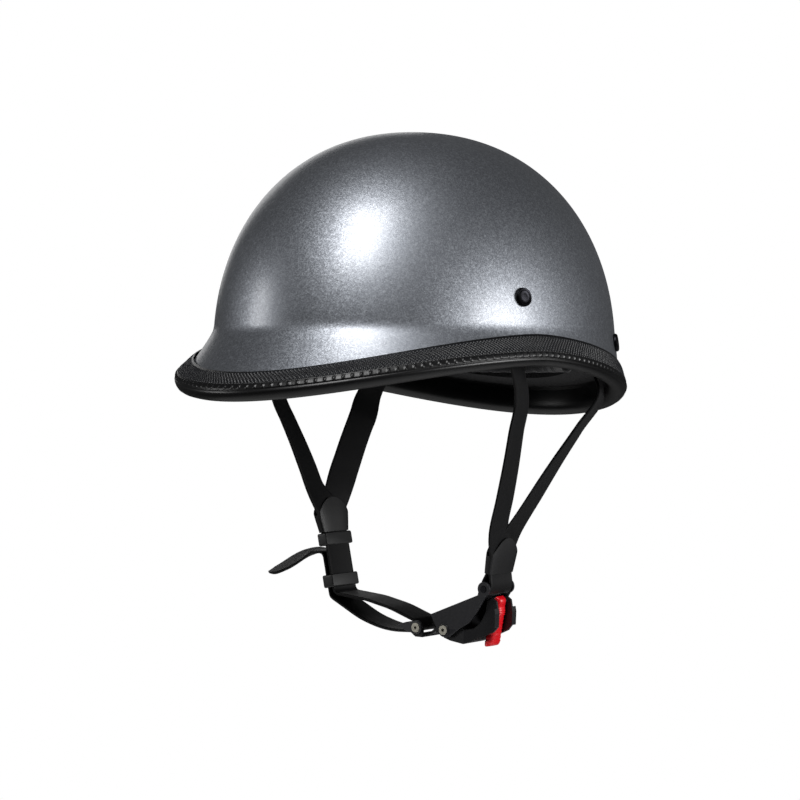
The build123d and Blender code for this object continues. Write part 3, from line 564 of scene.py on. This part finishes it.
# Washers, pins, eyelets, bars, snap and spring. Small turned or wound metal pieces, whose
# solids are right as they are; each gets its metal, with fine turning or drawing marks.
def metal(name, colour, rough, grain):
    """A bare or plated metal whose gloss varies with marks of the grain's size in metres."""
    finish, shader = new_finish(name, {"Base Color": linear(colour), "Metallic": 1.0})
    place = add(finish, "ShaderNodeTexCoord").outputs["Object"]
    marks = add(finish, "ShaderNodeTexNoise", {"Scale": 1 / grain, "Detail": 3.0}, {"Vector": place})
    gloss = add(finish, "ShaderNodeMapRange", {"To Min": rough - 0.08, "To Max": rough + 0.1},
                {"Value": marks.outputs["Fac"]})
    raised = add(finish, "ShaderNodeBump", {"Strength": 0.15, "Distance": 0.0001},
                 {"Height": marks.outputs["Fac"]})
    finish.node_tree.links.new(gloss.outputs["Result"], shader.inputs["Roughness"])
    finish.node_tree.links.new(raised.outputs["Normal"], shader.inputs["Normal"])
    return finish


def coat(node, finish):
    """Gives a solid that stays in view its finish."""
    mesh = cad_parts[node].data
    mesh.materials.clear()
    mesh.materials.append(finish)


# Zinc gives the washers a cool grey, nickel the pin and eyelets a warm pale shine, lacquer
# keeps the snap's brass yellow, the wire is bright from drawing and black oxide dulls the bar.
zinc_steel = metal("zinc-plated steel", "#8d9094", 0.34, 0.0008)
nickel_brass = metal("nickel-plated brass", "#d9d5c6", 0.38, 0.0005)
bare_brass = metal("lacquered brass", "#dcb45c", 0.34, 0.0006)
drawn_wire = metal("drawn spring wire", "#9a9da2", 0.28, 0.0004)
dark_bar = metal("black-oxide steel", "#2a2a2d", 0.38, 0.0006)
coat("rivet_washers", zinc_steel)
coat("lever_pin", nickel_brass)
coat("tongue_rivets", nickel_brass)
coat("nape_snap", bare_brass)
coat("lever_spring", drawn_wire)
coat("strap_bar", dark_bar)

# Foam liner. Moulded expanded polystyrene, black in the mass; the fused beads show as
# small rounded cells about 3 mm wide on its matt surface.
bead_size = 0.003
bead_foam, shader = new_finish("black expanded polystyrene", {
    "Base Color": linear("#101012"), "Roughness": 0.8,
})
place = add(bead_foam, "ShaderNodeTexCoord").outputs["Object"]
beads = add(bead_foam, "ShaderNodeTexVoronoi", {"Scale": 1 / bead_size}, {"Vector": place},
            feature="DISTANCE_TO_EDGE")
joint = add(bead_foam, "ShaderNodeMapRange", {"From Max": 0.12}, {"Value": beads.outputs["Distance"]})
raised = add(bead_foam, "ShaderNodeBump", {"Strength": 0.5, "Distance": 0.0004},
             {"Height": joint.outputs["Result"]})
bead_foam.node_tree.links.new(raised.outputs["Normal"], shader.inputs["Normal"])
coat("foam_liner", bead_foam)

# Comfort pads. Soft foam in a napped black knit, a brow, two side, a nape and a crown pad
# that hold on with hook tape; the foam swells their faces and draws in their edges.
pad_names = {
    "brow_pad": "brow_cushion",
    "left_side_pad": "left_side_cushion",
    "right_side_pad": "right_side_cushion",
    "nape_pad": "nape_cushion",
    "crown_pad": "crown_cushion",
}
pad_inset = 27.4
pad_shrink = 0.0004
pad_voxel = 0.003
pad_easing = 5
pad_pressure = 4
swell_cap = 0.0045
swell_frames = 20

# Napped black knit: loops about 1 mm apart under a brushed nap, soft and nearly without
# gloss, a little paler where the nap stands up.
knit_pitch = 0.0011
nap_size = 0.006
napped_knit, shader = new_finish("napped black knit", {
    "Roughness": 0.88, "Sheen Weight": 0.5, "Sheen Roughness": 0.4,
})
place = add(napped_knit, "ShaderNodeTexCoord").outputs["Object"]
loops = add(napped_knit, "ShaderNodeTexVoronoi", {"Scale": 1 / knit_pitch}, {"Vector": place})
nap = add(napped_knit, "ShaderNodeTexNoise", {"Scale": 1 / nap_size, "Detail": 4.0}, {"Vector": place})
tone = add(napped_knit, "ShaderNodeMix", {"A": linear("#101012"), "B": linear("#232327")},
           {"Factor": nap.outputs["Fac"]}, data_type="RGBA")
raised = add(napped_knit, "ShaderNodeBump", {"Strength": 0.5, "Distance": 0.0004},
             {"Height": loops.outputs["Distance"]})
napped_knit.node_tree.links.new(tone.outputs["Result"], shader.inputs["Base Color"])
napped_knit.node_tree.links.new(raised.outputs["Normal"], shader.inputs["Normal"])


def settle(piece):
    """Bakes a piece's modifiers into its mesh."""
    view = bpy.context.evaluated_depsgraph_get()
    baked = bpy.data.meshes.new_from_object(piece.evaluated_get(view))
    piece.modifiers.clear()
    piece.data = baked


def hold_inside(co):
    """Keeps a point of a pad on the head's side of the foam liner."""
    x, y, z = co / MM
    across = math.hypot(x / (shell_half_width - pad_inset), y / (shell_half_length - pad_inset))
    up = max(z, 0) / (shell_height - pad_inset)
    reach = (across ** dome_power + up ** dome_power) ** (1 / dome_power)
    if reach <= 1:
        return co
    return Vector((x / reach, y / reach, z / reach if z > 0 else z)) * MM


def swollen_pad(node, name):
    """The pad's solid, remeshed, blown up a little by cloth simulation and smoothed."""
    bm = bmesh.new()
    bm.from_mesh(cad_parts[node].data)
    bmesh.ops.remove_doubles(bm, verts=bm.verts, dist=1e-5)
    bm.normal_update()
    for vert in bm.verts:
        vert.co -= vert.normal * pad_shrink
    bmesh.ops.scale(bm, vec=(1 / MM, 1 / MM, 1 / MM), verts=bm.verts)
    piece = make_piece(name, bm, napped_knit, "shell_body", crease_deg=180)
    remesh = piece.modifiers.new("skin", "REMESH")
    remesh.mode = "VOXEL"
    remesh.voxel_size = pad_voxel
    ease = piece.modifiers.new("ease", "SMOOTH")
    ease.factor = 0.5
    ease.iterations = pad_easing
    settle(piece)
    rest = [v.co.copy() for v in piece.data.vertices]
    cloth = piece.modifiers.new("foam", "CLOTH")
    cloth.settings.quality = 4
    cloth.settings.use_pressure = True
    cloth.settings.uniform_pressure_force = pad_pressure
    cloth.settings.effector_weights.gravity = 0
    for step in range(1, swell_frames + 1):
        bpy.context.scene.frame_set(step)
    settle(piece)
    bpy.context.scene.frame_set(1)
    for vert, start in zip(piece.data.vertices, rest):
        move = vert.co - start
        if move.length > swell_cap:
            vert.co = start + move.normalized() * swell_cap
        vert.co = hold_inside(vert.co)
    for face in piece.data.polygons:
        face.use_smooth = True
    if not piece.data.materials:
        piece.data.materials.append(napped_knit)
    soften = piece.modifiers.new("soften", "SUBSURF")
    soften.levels = soften.render_levels = 1
    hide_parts(node)


for node, name in pad_names.items():
    swollen_pad(node, name)

# Webbing. Woven black polyester tape, 22 mm wide and 1.8 mm thick, with rolled selvedges.
# Each leg is riveted inside the shell, twists down to its divider and goes on from there.
web_width = 22.0
web_thickness = 1.8
web_inset = 5.9
web_tuck = 4.2
web_exit_rise = 1.2
web_end_margin = 10.0
fold_x = 89.5
fold_z = -26.0
front_fold_y = -22.0
rear_fold_y = 57.0
chin_y = -6.0
divider_height = 22.0
leg_parts = 4
leg_spread = 9.0
wide_spread = leg_spread * 1.3
spread_fall = 8
mouth_share = 0.7
layer_lead = 1.25
rear_leg_end = 2.4
left_divider_x = 67.5
left_divider_z = -119.0
layer_pitch = 2.1
bar_x = 63.5
bar_z = -139.0
bar_radius = 2.0
web_bar_x = 7.6
web_bar_z = -165.3
web_bar_radius = 1.8
slider_x = -58.0
slider_z = -142.0
slider_height = 8.0
slider_bar = 1.2
slider_slot = 2.4
right_divider_rise = 41.9
keeper_drop = 15.5
keeper_height = 8.0
tail_rise = 19.0
tail_length = 52.0
tail_lead = 0.2
tail_dip = 0.02
tail_point = 14.0
point_narrow = 0.35
strap_bend = 4.0
sag_bend = 72.0
loop_gap = 0.25
loop_round = 0.98
wrap_round = 0.96
corner_steps = 8
stretch_steps = 8
tape_column = 1.6
tape_look = 0.8
half_layer = layer_pitch / 2
across_y = Vector((0, 1, 0))

# Half of the tape's section, in shares of its width and thickness, with a rolled selvedge.
edge_half = [(0.5, 0.0), (0.494, 0.34), (0.47, 0.5), (0.42, 0.46), (0.22, 0.43), (0.0, 0.42)]
edge_top = edge_half + [(-x, t) for x, t in reversed(edge_half[:-1])]
tape_section = edge_top + [(-x, -t) for x, t in edge_top[1:]]
tape_around = [0.0]
for before, after in zip(tape_section, tape_section[1:]):
    step = math.hypot((after[0] - before[0]) * web_width, (after[1] - before[1]) * web_thickness)
    tape_around.append(tape_around[-1] + step)


def anchor_stations(side, degrees, z_rivet, turned_hint):
    """The length inside the shell, from its end over the rivet to just under the rim."""
    phi = side * math.radians(degrees)
    along_wall = wall_tangent(phi, z_rivet) * side
    top = wall_point(phi, z_rivet + web_end_margin, web_inset)
    seat = wall_point(phi, z_rivet, web_inset)
    exit_z = rim_height(seat.y) + web_exit_rise
    under = wall_point(phi, (z_rivet + exit_z) / 2, web_inset)
    low = wall_point(phi, exit_z, web_inset, False)
    inside = wall_point(phi, exit_z - 2 * web_tuck, web_inset + web_tuck, False)
    stations = [(spot, along_wall) for spot in (top, seat, under, low)]
    return stations + [(inside, turned_hint)]


def leg_stations(side, fold_y, fold_hint, divider, out, down, layer, spread, drop):
    """A free leg from the fold under the rim into its divider, and on below it by drop."""
    fold = Vector((side * fold_x, fold_y, fold_z))
    mouth = divider + out * layer - down * divider_height * mouth_share + Vector((0, spread, 0))
    stations = [(fold, fold_hint)]
    for k in range(1, leg_parts):
        share = k / leg_parts
        apart = out * layer * (min(2 * share, 1) * layer_lead - share)
        hint = fold_hint * (2 * leg_parts - k) + across_y * k
        stations.append((fold + (mouth - fold) * share + apart, hint))
    stations.append((mouth, fold_hint + across_y))
    stations.append((divider + out * layer + Vector((0, spread / spread_fall, 0)), across_y))
    if drop > 0:
        stations.append((divider + out * layer + down * drop, across_y))
    return stations


def eased(stations):
    """The smooth curve through the stations, as closer ones."""
    count = stretch_steps * (len(stations) - 1)
    spots = [spot for spot, hint in stations]
    hints = [hint for spot, hint in stations]
    return [(through(spots, k / count), through(hints, k / count)) for k in range(count + 1)]


def rounded(corners, radii):
    """A path with its corners turned at these radii, in the plane of the chin strap."""
    path = [(corners[0], across_y)]
    for before, corner, after, radius in zip(corners, corners[1:], corners[2:], radii):
        back = (before - corner).normalized()
        ahead = (after - corner).normalized()
        half = back.angle(ahead) / 2
        centre = corner + (back + ahead).normalized() * radius / math.sin(half)
        start = corner + back * radius / math.tan(half) - centre
        axis = back.cross(ahead)
        for k in range(corner_steps + 1):
            turn = Matrix.Rotation(-(math.pi - 2 * half) * k / corner_steps, 3, axis)
            path.append((centre + turn @ start, across_y))
    return path + [(corners[-1], across_y)]


def tape(stations, point_length=0.0):
    """A length of webbing through its stations, each a spot and the way its width points."""
    run = [0.0]
    for before, after in zip(stations, stations[1:]):
        run.append(run[-1] + (after[0] - before[0]).length)
    length = run[-1]
    columns = round(length / tape_column)

    def spot_at(distance):
        j = min(max(bisect.bisect_left(run, distance), 1), len(run) - 1)
        share = (distance - run[j - 1]) / max(run[j] - run[j - 1], 1e-9)
        spot = stations[j - 1][0].lerp(stations[j][0], share)
        return spot, stations[j - 1][1].lerp(stations[j][1], share)

    def tape_place(along_share, around_share):
        distance = along_share * length
        spot, hint = spot_at(distance)
        behind = spot_at(max(distance - tape_look, 0))[0]
        ahead = (spot_at(min(distance + tape_look, length))[0] - behind).normalized()
        side = (hint - ahead * hint.dot(ahead)).normalized()
        out = ahead.cross(side)
        wide, thick = tape_section[round(around_share * (len(tape_section) - 1))]
        left = length - distance
        narrow = 1.0
        if left < point_length:
            narrow = point_narrow + (1 - point_narrow) * math.sin(math.pi / 2 * left / point_length)
        return spot + side * wide * web_width * narrow + out * thick * web_thickness

    bm = moved_grid(columns, len(tape_section) - 1, tape_place)
    flat = bm.loops.layers.uv["UVMap"]
    for face in bm.faces:
        for corner in face.loops:
            u, v = corner[flat].uv
            corner[flat].uv = (u * length, tape_around[round(v * (len(tape_section) - 1))])
    bmesh.ops.holes_fill(bm, edges=[edge for edge in bm.edges if edge.is_boundary], sides=0)
    return bm


# Woven polyester: ribs across the tape and yarns along it, a little coarser than real, near
# black with a faint sheen. The UV map is in millimetres, so one finish serves every length.
rib_step = 1.1
yarn_step = 2.2
fuzz_size = 2.5
woven_tape, shader = new_finish("woven black polyester tape", {
    "Roughness": 0.6, "Specular IOR Level": 0.2,
    "Sheen Weight": 0.06, "Sheen Roughness": 0.35,
})
flat = add(woven_tape, "ShaderNodeUVMap", uv_map="UVMap").outputs["UV"]
parts = add(woven_tape, "ShaderNodeSeparateXYZ", None, {"Vector": flat})
waves = []
for step, way in ((rib_step, "X"), (yarn_step, "Y")):
    turns = add(woven_tape, "ShaderNodeMath", {1: 2 * math.pi / step}, {0: parts.outputs[way]},
                operation="MULTIPLY")
    waves.append(add(woven_tape, "ShaderNodeMath", None, {0: turns.outputs[0]}, operation="SINE"))
cross = add(woven_tape, "ShaderNodeMath", None, {0: waves[0].outputs[0], 1: waves[1].outputs[0]},
            operation="MULTIPLY")
weave = add(woven_tape, "ShaderNodeMapRange", {"From Min": -1.0, "From Max": 1.0},
            {"Value": cross.outputs[0]})
fuzz = add(woven_tape, "ShaderNodeTexNoise", {"Scale": 1 / fuzz_size, "Detail": 3.0}, {"Vector": flat})
worn = add(woven_tape, "ShaderNodeMath", None, {0: weave.outputs["Result"], 1: fuzz.outputs["Fac"]},
           operation="MULTIPLY")
tone = add(woven_tape, "ShaderNodeMix", {"A": linear("#020203"), "B": linear("#0f0f11")},
           {"Factor": worn.outputs[0]}, data_type="RGBA")
raised = add(woven_tape, "ShaderNodeBump", {"Strength": 0.2, "Distance": 0.0002},
             {"Height": weave.outputs["Result"]})
woven_tape.node_tree.links.new(tone.outputs["Result"], shader.inputs["Base Color"])
woven_tape.node_tree.links.new(raised.outputs["Normal"], shader.inputs["Normal"])

left_divider_at = Vector((left_divider_x, chin_y, left_divider_z))
strap_bar_at = Vector((bar_x, chin_y, bar_z))
left_down = (strap_bar_at - left_divider_at).normalized()
left_out = Vector((-left_down.z, 0, left_down.x))
left_front_shift = 5.0
left_rear_shift = 10.0
loop_r = bar_radius + loop_gap + web_thickness / 2


def leg_turn(degrees):
    """The way a leg's width points at the fold, turned about the upright."""
    angle = math.radians(degrees)
    return Vector((-math.sin(angle), math.cos(angle), 0))


def left_spot(centre, layer, drop):
    return centre + left_out * layer + left_down * drop


left_front_hint = leg_turn(16)
left_rear_hint = leg_turn(24)
left_loop = rounded([
    left_spot(left_divider_at, half_layer, divider_height / 2),
    left_spot(strap_bar_at, loop_r, -loop_r),
    left_spot(strap_bar_at, loop_r, loop_r),
    left_spot(strap_bar_at, -loop_r, loop_r),
    left_spot(strap_bar_at, -loop_r, -loop_r),
    left_spot(left_divider_at, -half_layer, divider_height / 2),
    left_spot(left_divider_at, -half_layer, divider_height / 4),
], [strap_bend, loop_r * loop_round, loop_r * loop_round, strap_bend, strap_bend])
left_front_path = eased(
    anchor_stations(1, *rivet_spots[0], left_front_hint)
    + leg_stations(1, front_fold_y + left_front_shift, left_front_hint, left_divider_at,
                   left_out, left_down, half_layer, -leg_spread, 0)
)
left_rear_path = eased(
    anchor_stations(1, *rivet_spots[1], left_rear_hint)
    + leg_stations(1, rear_fold_y + left_rear_shift, left_rear_hint, left_divider_at,
                   left_out, left_down, -half_layer, wide_spread, rear_leg_end)
)
left_front_tape = make_piece("left_front_webbing", tape(left_front_path + left_loop),
                             woven_tape, "shell_body")
left_rear_tape = make_piece("left_rear_webbing", tape(left_rear_path), woven_tape, "shell_body")
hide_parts("left_front_strap")
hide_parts("left_rear_strap")

# Right webbing. The front leg is one length with the chin strap: through the slider, round
# the tongue's bar, back through the slider and out as the loose tail with its pointed end.
slider_at = Vector((slider_x, chin_y, slider_z))
web_bar_at = Vector((web_bar_x, chin_y, web_bar_z))
right_lean = math.radians(12)
right_down = Vector((math.sin(right_lean), 0, -math.cos(right_lean)))
right_in = Vector((-right_down.z, 0, right_down.x))
slot_shift = slider_bar / 2 + slider_slot / 2
right_divider_at = slider_at + right_in * (slot_shift - half_layer) - right_down * right_divider_rise
wrap_r = web_bar_radius + loop_gap + web_thickness / 2
under = slider_at + right_down * (slider_height / 2 + strap_bend)
far_line = right_in * -slot_shift


def chin_spot(x_share, z_share):
    """A spot under the chin, in shares of the way from the slider to the tongue's bar."""
    span = web_bar_at - slider_at
    return slider_at + Vector((span.x * x_share, 0, span.z * z_share))


def tail_spot(out_share, down_share):
    """A spot of the loose tail, in shares of its length outwards and down."""
    start = slider_at + far_line - right_down * tail_rise
    outwards = -tail_length * (tail_lead + out_share)
    return start + Vector((outwards, 0, -tail_length * (tail_dip + down_share)))


chin_run = rounded([
    right_divider_at + right_in * half_layer + right_down * divider_height / 2,
    under + right_in * slot_shift,
    chin_spot(0.43, 0.41),
    chin_spot(0.73, 0.58),
    web_bar_at + Vector((wrap_r, 0, wrap_r)),
    web_bar_at + Vector((wrap_r, 0, -wrap_r)),
    chin_spot(0.70, 1.18),
    chin_spot(0.38, 0.94),
    under + far_line + right_down * web_thickness,
    slider_at + far_line - right_down * tail_rise,
    tail_spot(0, 0),
], [
    strap_bend, sag_bend, sag_bend, wrap_r * wrap_round, wrap_r * wrap_round, sag_bend, sag_bend,
    strap_bend, strap_bend,
])
tail_run = eased([
    (tail_spot(0, 0), across_y),
    (tail_spot(0.21, 0.05), Vector((0, 1, 0.38))),
    (tail_spot(0.43, 0.13), Vector((0, 1, 0.58))),
    (tail_spot(0.65, 0.22), Vector((0, 1, 0.52))),
    (tail_spot(0.82, 0.28), Vector((0, 1, 0.36))),
])[1:]
right_front_hint = leg_turn(20)
right_front_shift = -8.0
right_rear_shift = 5.0
right_front_path = eased(
    anchor_stations(-1, *rivet_spots[0], right_front_hint)
    + leg_stations(-1, front_fold_y + right_front_shift, right_front_hint, right_divider_at,
                   right_in, right_down, half_layer, -wide_spread, 0)
)
right_rear_path = eased(
    anchor_stations(-1, *rivet_spots[1], across_y)
    + leg_stations(-1, rear_fold_y + right_rear_shift, across_y, right_divider_at,
                   right_in, right_down, -half_layer, wide_spread, keeper_drop + keeper_height / 2)
)
chin_mesh = tape(right_front_path + chin_run + tail_run, tail_point)
chin_tape = make_piece("chin_webbing", chin_mesh, woven_tape, None)
rear_tape = make_piece("right_rear_webbing", tape(right_rear_path), woven_tape, None)
for piece, fold_y, nodes in (
    (chin_tape, front_fold_y, ("right_front_anchor", "chin_strap")),
    (rear_tape, rear_fold_y, ("right_rear_anchor", "right_rear_strap")),
):
    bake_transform(piece)
    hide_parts(*nodes)


# Moulded and stamped pieces. Injection-moulded nylon dividers, keeper and slider, the
# buckle's enamelled housing, its lever, tongue and leaves; every edge is a little rounded.
def moulded(name, colour, rough, grain, depth):
    """A plastic or enamel with a raised grain of this size and depth in metres."""
    finish, shader = new_finish(name, {"Base Color": linear(colour)})
    place = add(finish, "ShaderNodeTexCoord").outputs["Object"]
    spark = add(finish, "ShaderNodeTexNoise", {"Scale": 1 / grain, "Detail": 5.0}, {"Vector": place})
    gloss = add(finish, "ShaderNodeMapRange", {"To Min": rough - 0.07, "To Max": rough + 0.1},
                {"Value": spark.outputs["Fac"]})
    raised = add(finish, "ShaderNodeBump", {"Strength": 0.3, "Distance": depth},
                 {"Height": spark.outputs["Fac"]})
    finish.node_tree.links.new(gloss.outputs["Result"], shader.inputs["Roughness"])
    finish.node_tree.links.new(raised.outputs["Normal"], shader.inputs["Normal"])
    return finish


def eased_edges(node, name, finish, body, width):
    """A copy of a solid whose sharp edges are rounded by width millimetres."""
    bm = bmesh.new()
    bm.from_mesh(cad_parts[node].data)
    bmesh.ops.remove_doubles(bm, verts=bm.verts, dist=1e-6)
    bmesh.ops.scale(bm, vec=(1 / MM, 1 / MM, 1 / MM), verts=bm.verts)
    bmesh.ops.dissolve_limit(bm, angle_limit=math.radians(1), verts=bm.verts, edges=bm.edges)
    piece = make_piece(name, bm, finish, body, crease_deg=sharp_deg)
    edge = piece.modifiers.new("eased edge", "BEVEL")
    edge.width = width * MM
    edge.segments = 2
    edge.limit_method = "ANGLE"
    edge.angle_limit = math.radians(sharp_deg)
    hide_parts(node)


# The spark-eroded mould leaves a dull fine grain on the nylon; the glass-filled one is
# closer and shinier. The enamel has a soft even shine, and grey nylon sets the leaves apart.
sharp_deg = 35
spark_nylon = moulded("spark-eroded black nylon", "#08080a", 0.46, 0.0007, 0.00012)
satin_enamel = moulded("charcoal stove enamel", "#232326", 0.32, 0.0011, 0.00008)
filled_nylon = moulded("glass-filled black nylon", "#151517", 0.34, 0.0009, 0.0001)
grey_nylon = moulded("grey nylon", "#313134", 0.38, 0.0008, 0.0001)
shield_half_depth = 3.6
shield_wall = 0.9
shield_notch_share = 0.5
shield_notch_power = 1.3
shield_side_power = 0.7
shield_face_power = 0.45
shield_belly = 0.14
shield_columns = 96
shield_rows = 24


def shield_cover(node, name, centre, out, down, body, shield_half, shield_foot):
    """A flat sleeve round both layers, cut back at the sides where the legs come in."""
    half_rows = shield_rows // 2

    def shield_place(turn_share, wall_share):
        turn = 2 * math.pi * turn_share
        row = round(wall_share * shield_rows) % shield_rows
        outside = row < half_rows
        run = row / (half_rows - 1) if outside else (shield_rows - 1 - row) / (half_rows - 1)
        top = shield_notch_share * abs(math.cos(turn)) ** shield_notch_power
        share = top + (1 - top) * run
        inset = 0 if outside else shield_wall
        half = shield_half + (shield_foot - shield_half) * share - inset
        swell = 1 - shield_belly + shield_belly * math.sin(math.pi * share)
        depth = shield_half_depth * swell - inset
        wide = math.copysign(abs(math.cos(turn)) ** shield_side_power, math.cos(turn)) * half
        thick = math.copysign(abs(math.sin(turn)) ** shield_face_power, math.sin(turn)) * depth
        return centre + across_y * wide + out * thick + down * (share - 0.5) * divider_height

    cover_mesh = moved_grid(shield_columns, shield_rows, shield_place)
    cover = make_piece(name, cover_mesh, spark_nylon, body, crease_deg=50)
    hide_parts(node)


shield_cover("left_divider", "left_divider_cover", left_divider_at, left_out, left_down,
             "shell_body", shield_half=14.2, shield_foot=12.4)
shield_cover("right_divider", "right_divider_cover", right_divider_at, right_in, right_down,
             "strap_body", shield_half=17.0, shield_foot=12.6)
eased_edges("right_keeper", "right_keeper_loop", spark_nylon, "strap_body", 0.3)
eased_edges("chin_slider", "chin_slider_loop", spark_nylon, "slider_body", 0.3)
eased_edges("buckle_housing", "buckle_housing_shell", satin_enamel, "shell_body", 0.25)
eased_edges("buckle_lever", "ratchet_lever", filled_nylon, "lever_body", 0.4)
eased_edges("ratchet_tongue", "ratchet_tongue_strip", filled_nylon, "strap_body", 0.12)
eased_edges("tongue_leaves", "tongue_leaf_covers", grey_nylon, "strap_body", 0.25)

# Pull tab. A ribbon of red nitrile folded over the lever's bar and moulded shut, with
# cross ribs for the fingers and a wider free end.
tab_bar_x = 66.1
tab_bar_z = -147.2
tab_length = 27.0
tab_lean = 6.0
tab_half_width = 3.9
tab_flare_half = 5.8
tab_flare_power = 1.5
tab_lean_power = 1.3
tab_ring = 3.1
tab_ply = 2.4
tab_side_power = 2.6
tab_rib = 0.6
tab_rib_count = 10
tab_rib_start = 3.0
tab_rib_fade = 4.0
tab_end_fade = 1.5
tab_columns = 180
tab_rows = 16
tab_outline = [
    (0.0, -tab_ring), (tab_ring * 0.8, -tab_ring * 0.6), (tab_ring, 0.0), (tab_ring * 0.85, tab_ring),
    (tab_ply * 1.3, tab_ring * 2.2), (tab_ply, tab_length * 0.35), (tab_ply, tab_length * 0.65),
    (tab_ply * 1.15, tab_length * 0.95), (0.0, tab_length), (-tab_ply * 1.15, tab_length * 0.95),
    (-tab_ply, tab_length * 0.65), (-tab_ply, tab_length * 0.35), (-tab_ply * 1.3, tab_ring * 2.2),
    (-tab_ring * 0.85, tab_ring), (-tab_ring, 0.0), (-tab_ring * 0.8, -tab_ring * 0.6), (0.0, -tab_ring),
]


def tab_place(round_share, wide_share):
    thick, down = through(tab_outline, round_share)
    share = min(max(down / tab_length, 0), 1)
    wide = 2 * wide_share - 1
    half = tab_half_width + (tab_flare_half - tab_half_width) * share ** tab_flare_power
    rib = tab_rib * math.cos(2 * math.pi * tab_rib_count * share)
    rib *= min(max((down - tab_rib_start) / tab_rib_fade, 0), 1)
    rib *= min(max((tab_length - down) / tab_end_fade, 0), 1)
    edge = max(1 - abs(wide) ** tab_side_power, 0) ** (1 / tab_side_power)
    x = tab_bar_x + (thick + math.copysign(rib, thick)) * edge - tab_lean * share ** tab_lean_power
    return Vector((x, chin_y + wide * (half + rib / 2), tab_bar_z - down))


tab_mesh = moved_grid(tab_columns, tab_rows, tab_place)
bmesh.ops.holes_fill(tab_mesh, edges=[edge for edge in tab_mesh.edges if edge.is_boundary], sides=0)

# Red nitrile rubber: a strong red with a soft gloss, slightly mottled by its bloom, and
# a little light passes through its thin edges.
bloom_size = 0.0015
red_rubber, shader = new_finish("red nitrile rubber", {
    "Roughness": 0.38, "Specular IOR Level": 0.5,
    "Subsurface Weight": 0.08, "Subsurface Radius": (0.002, 0.0006, 0.0004),
})
place = add(red_rubber, "ShaderNodeTexCoord").outputs["Object"]
bloom = add(red_rubber, "ShaderNodeTexNoise", {"Scale": 1 / bloom_size, "Detail": 4.0}, {"Vector": place})
tone = add(red_rubber, "ShaderNodeMix", {"A": linear("#b8000c"), "B": linear("#e4061a")},
           {"Factor": bloom.outputs["Fac"]}, data_type="RGBA")
red_rubber.node_tree.links.new(tone.outputs["Result"], shader.inputs["Base Color"])
tab = make_piece("red_pull_tab", tab_mesh, red_rubber, "tab_body", crease_deg=50)
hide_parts("pull_tab")
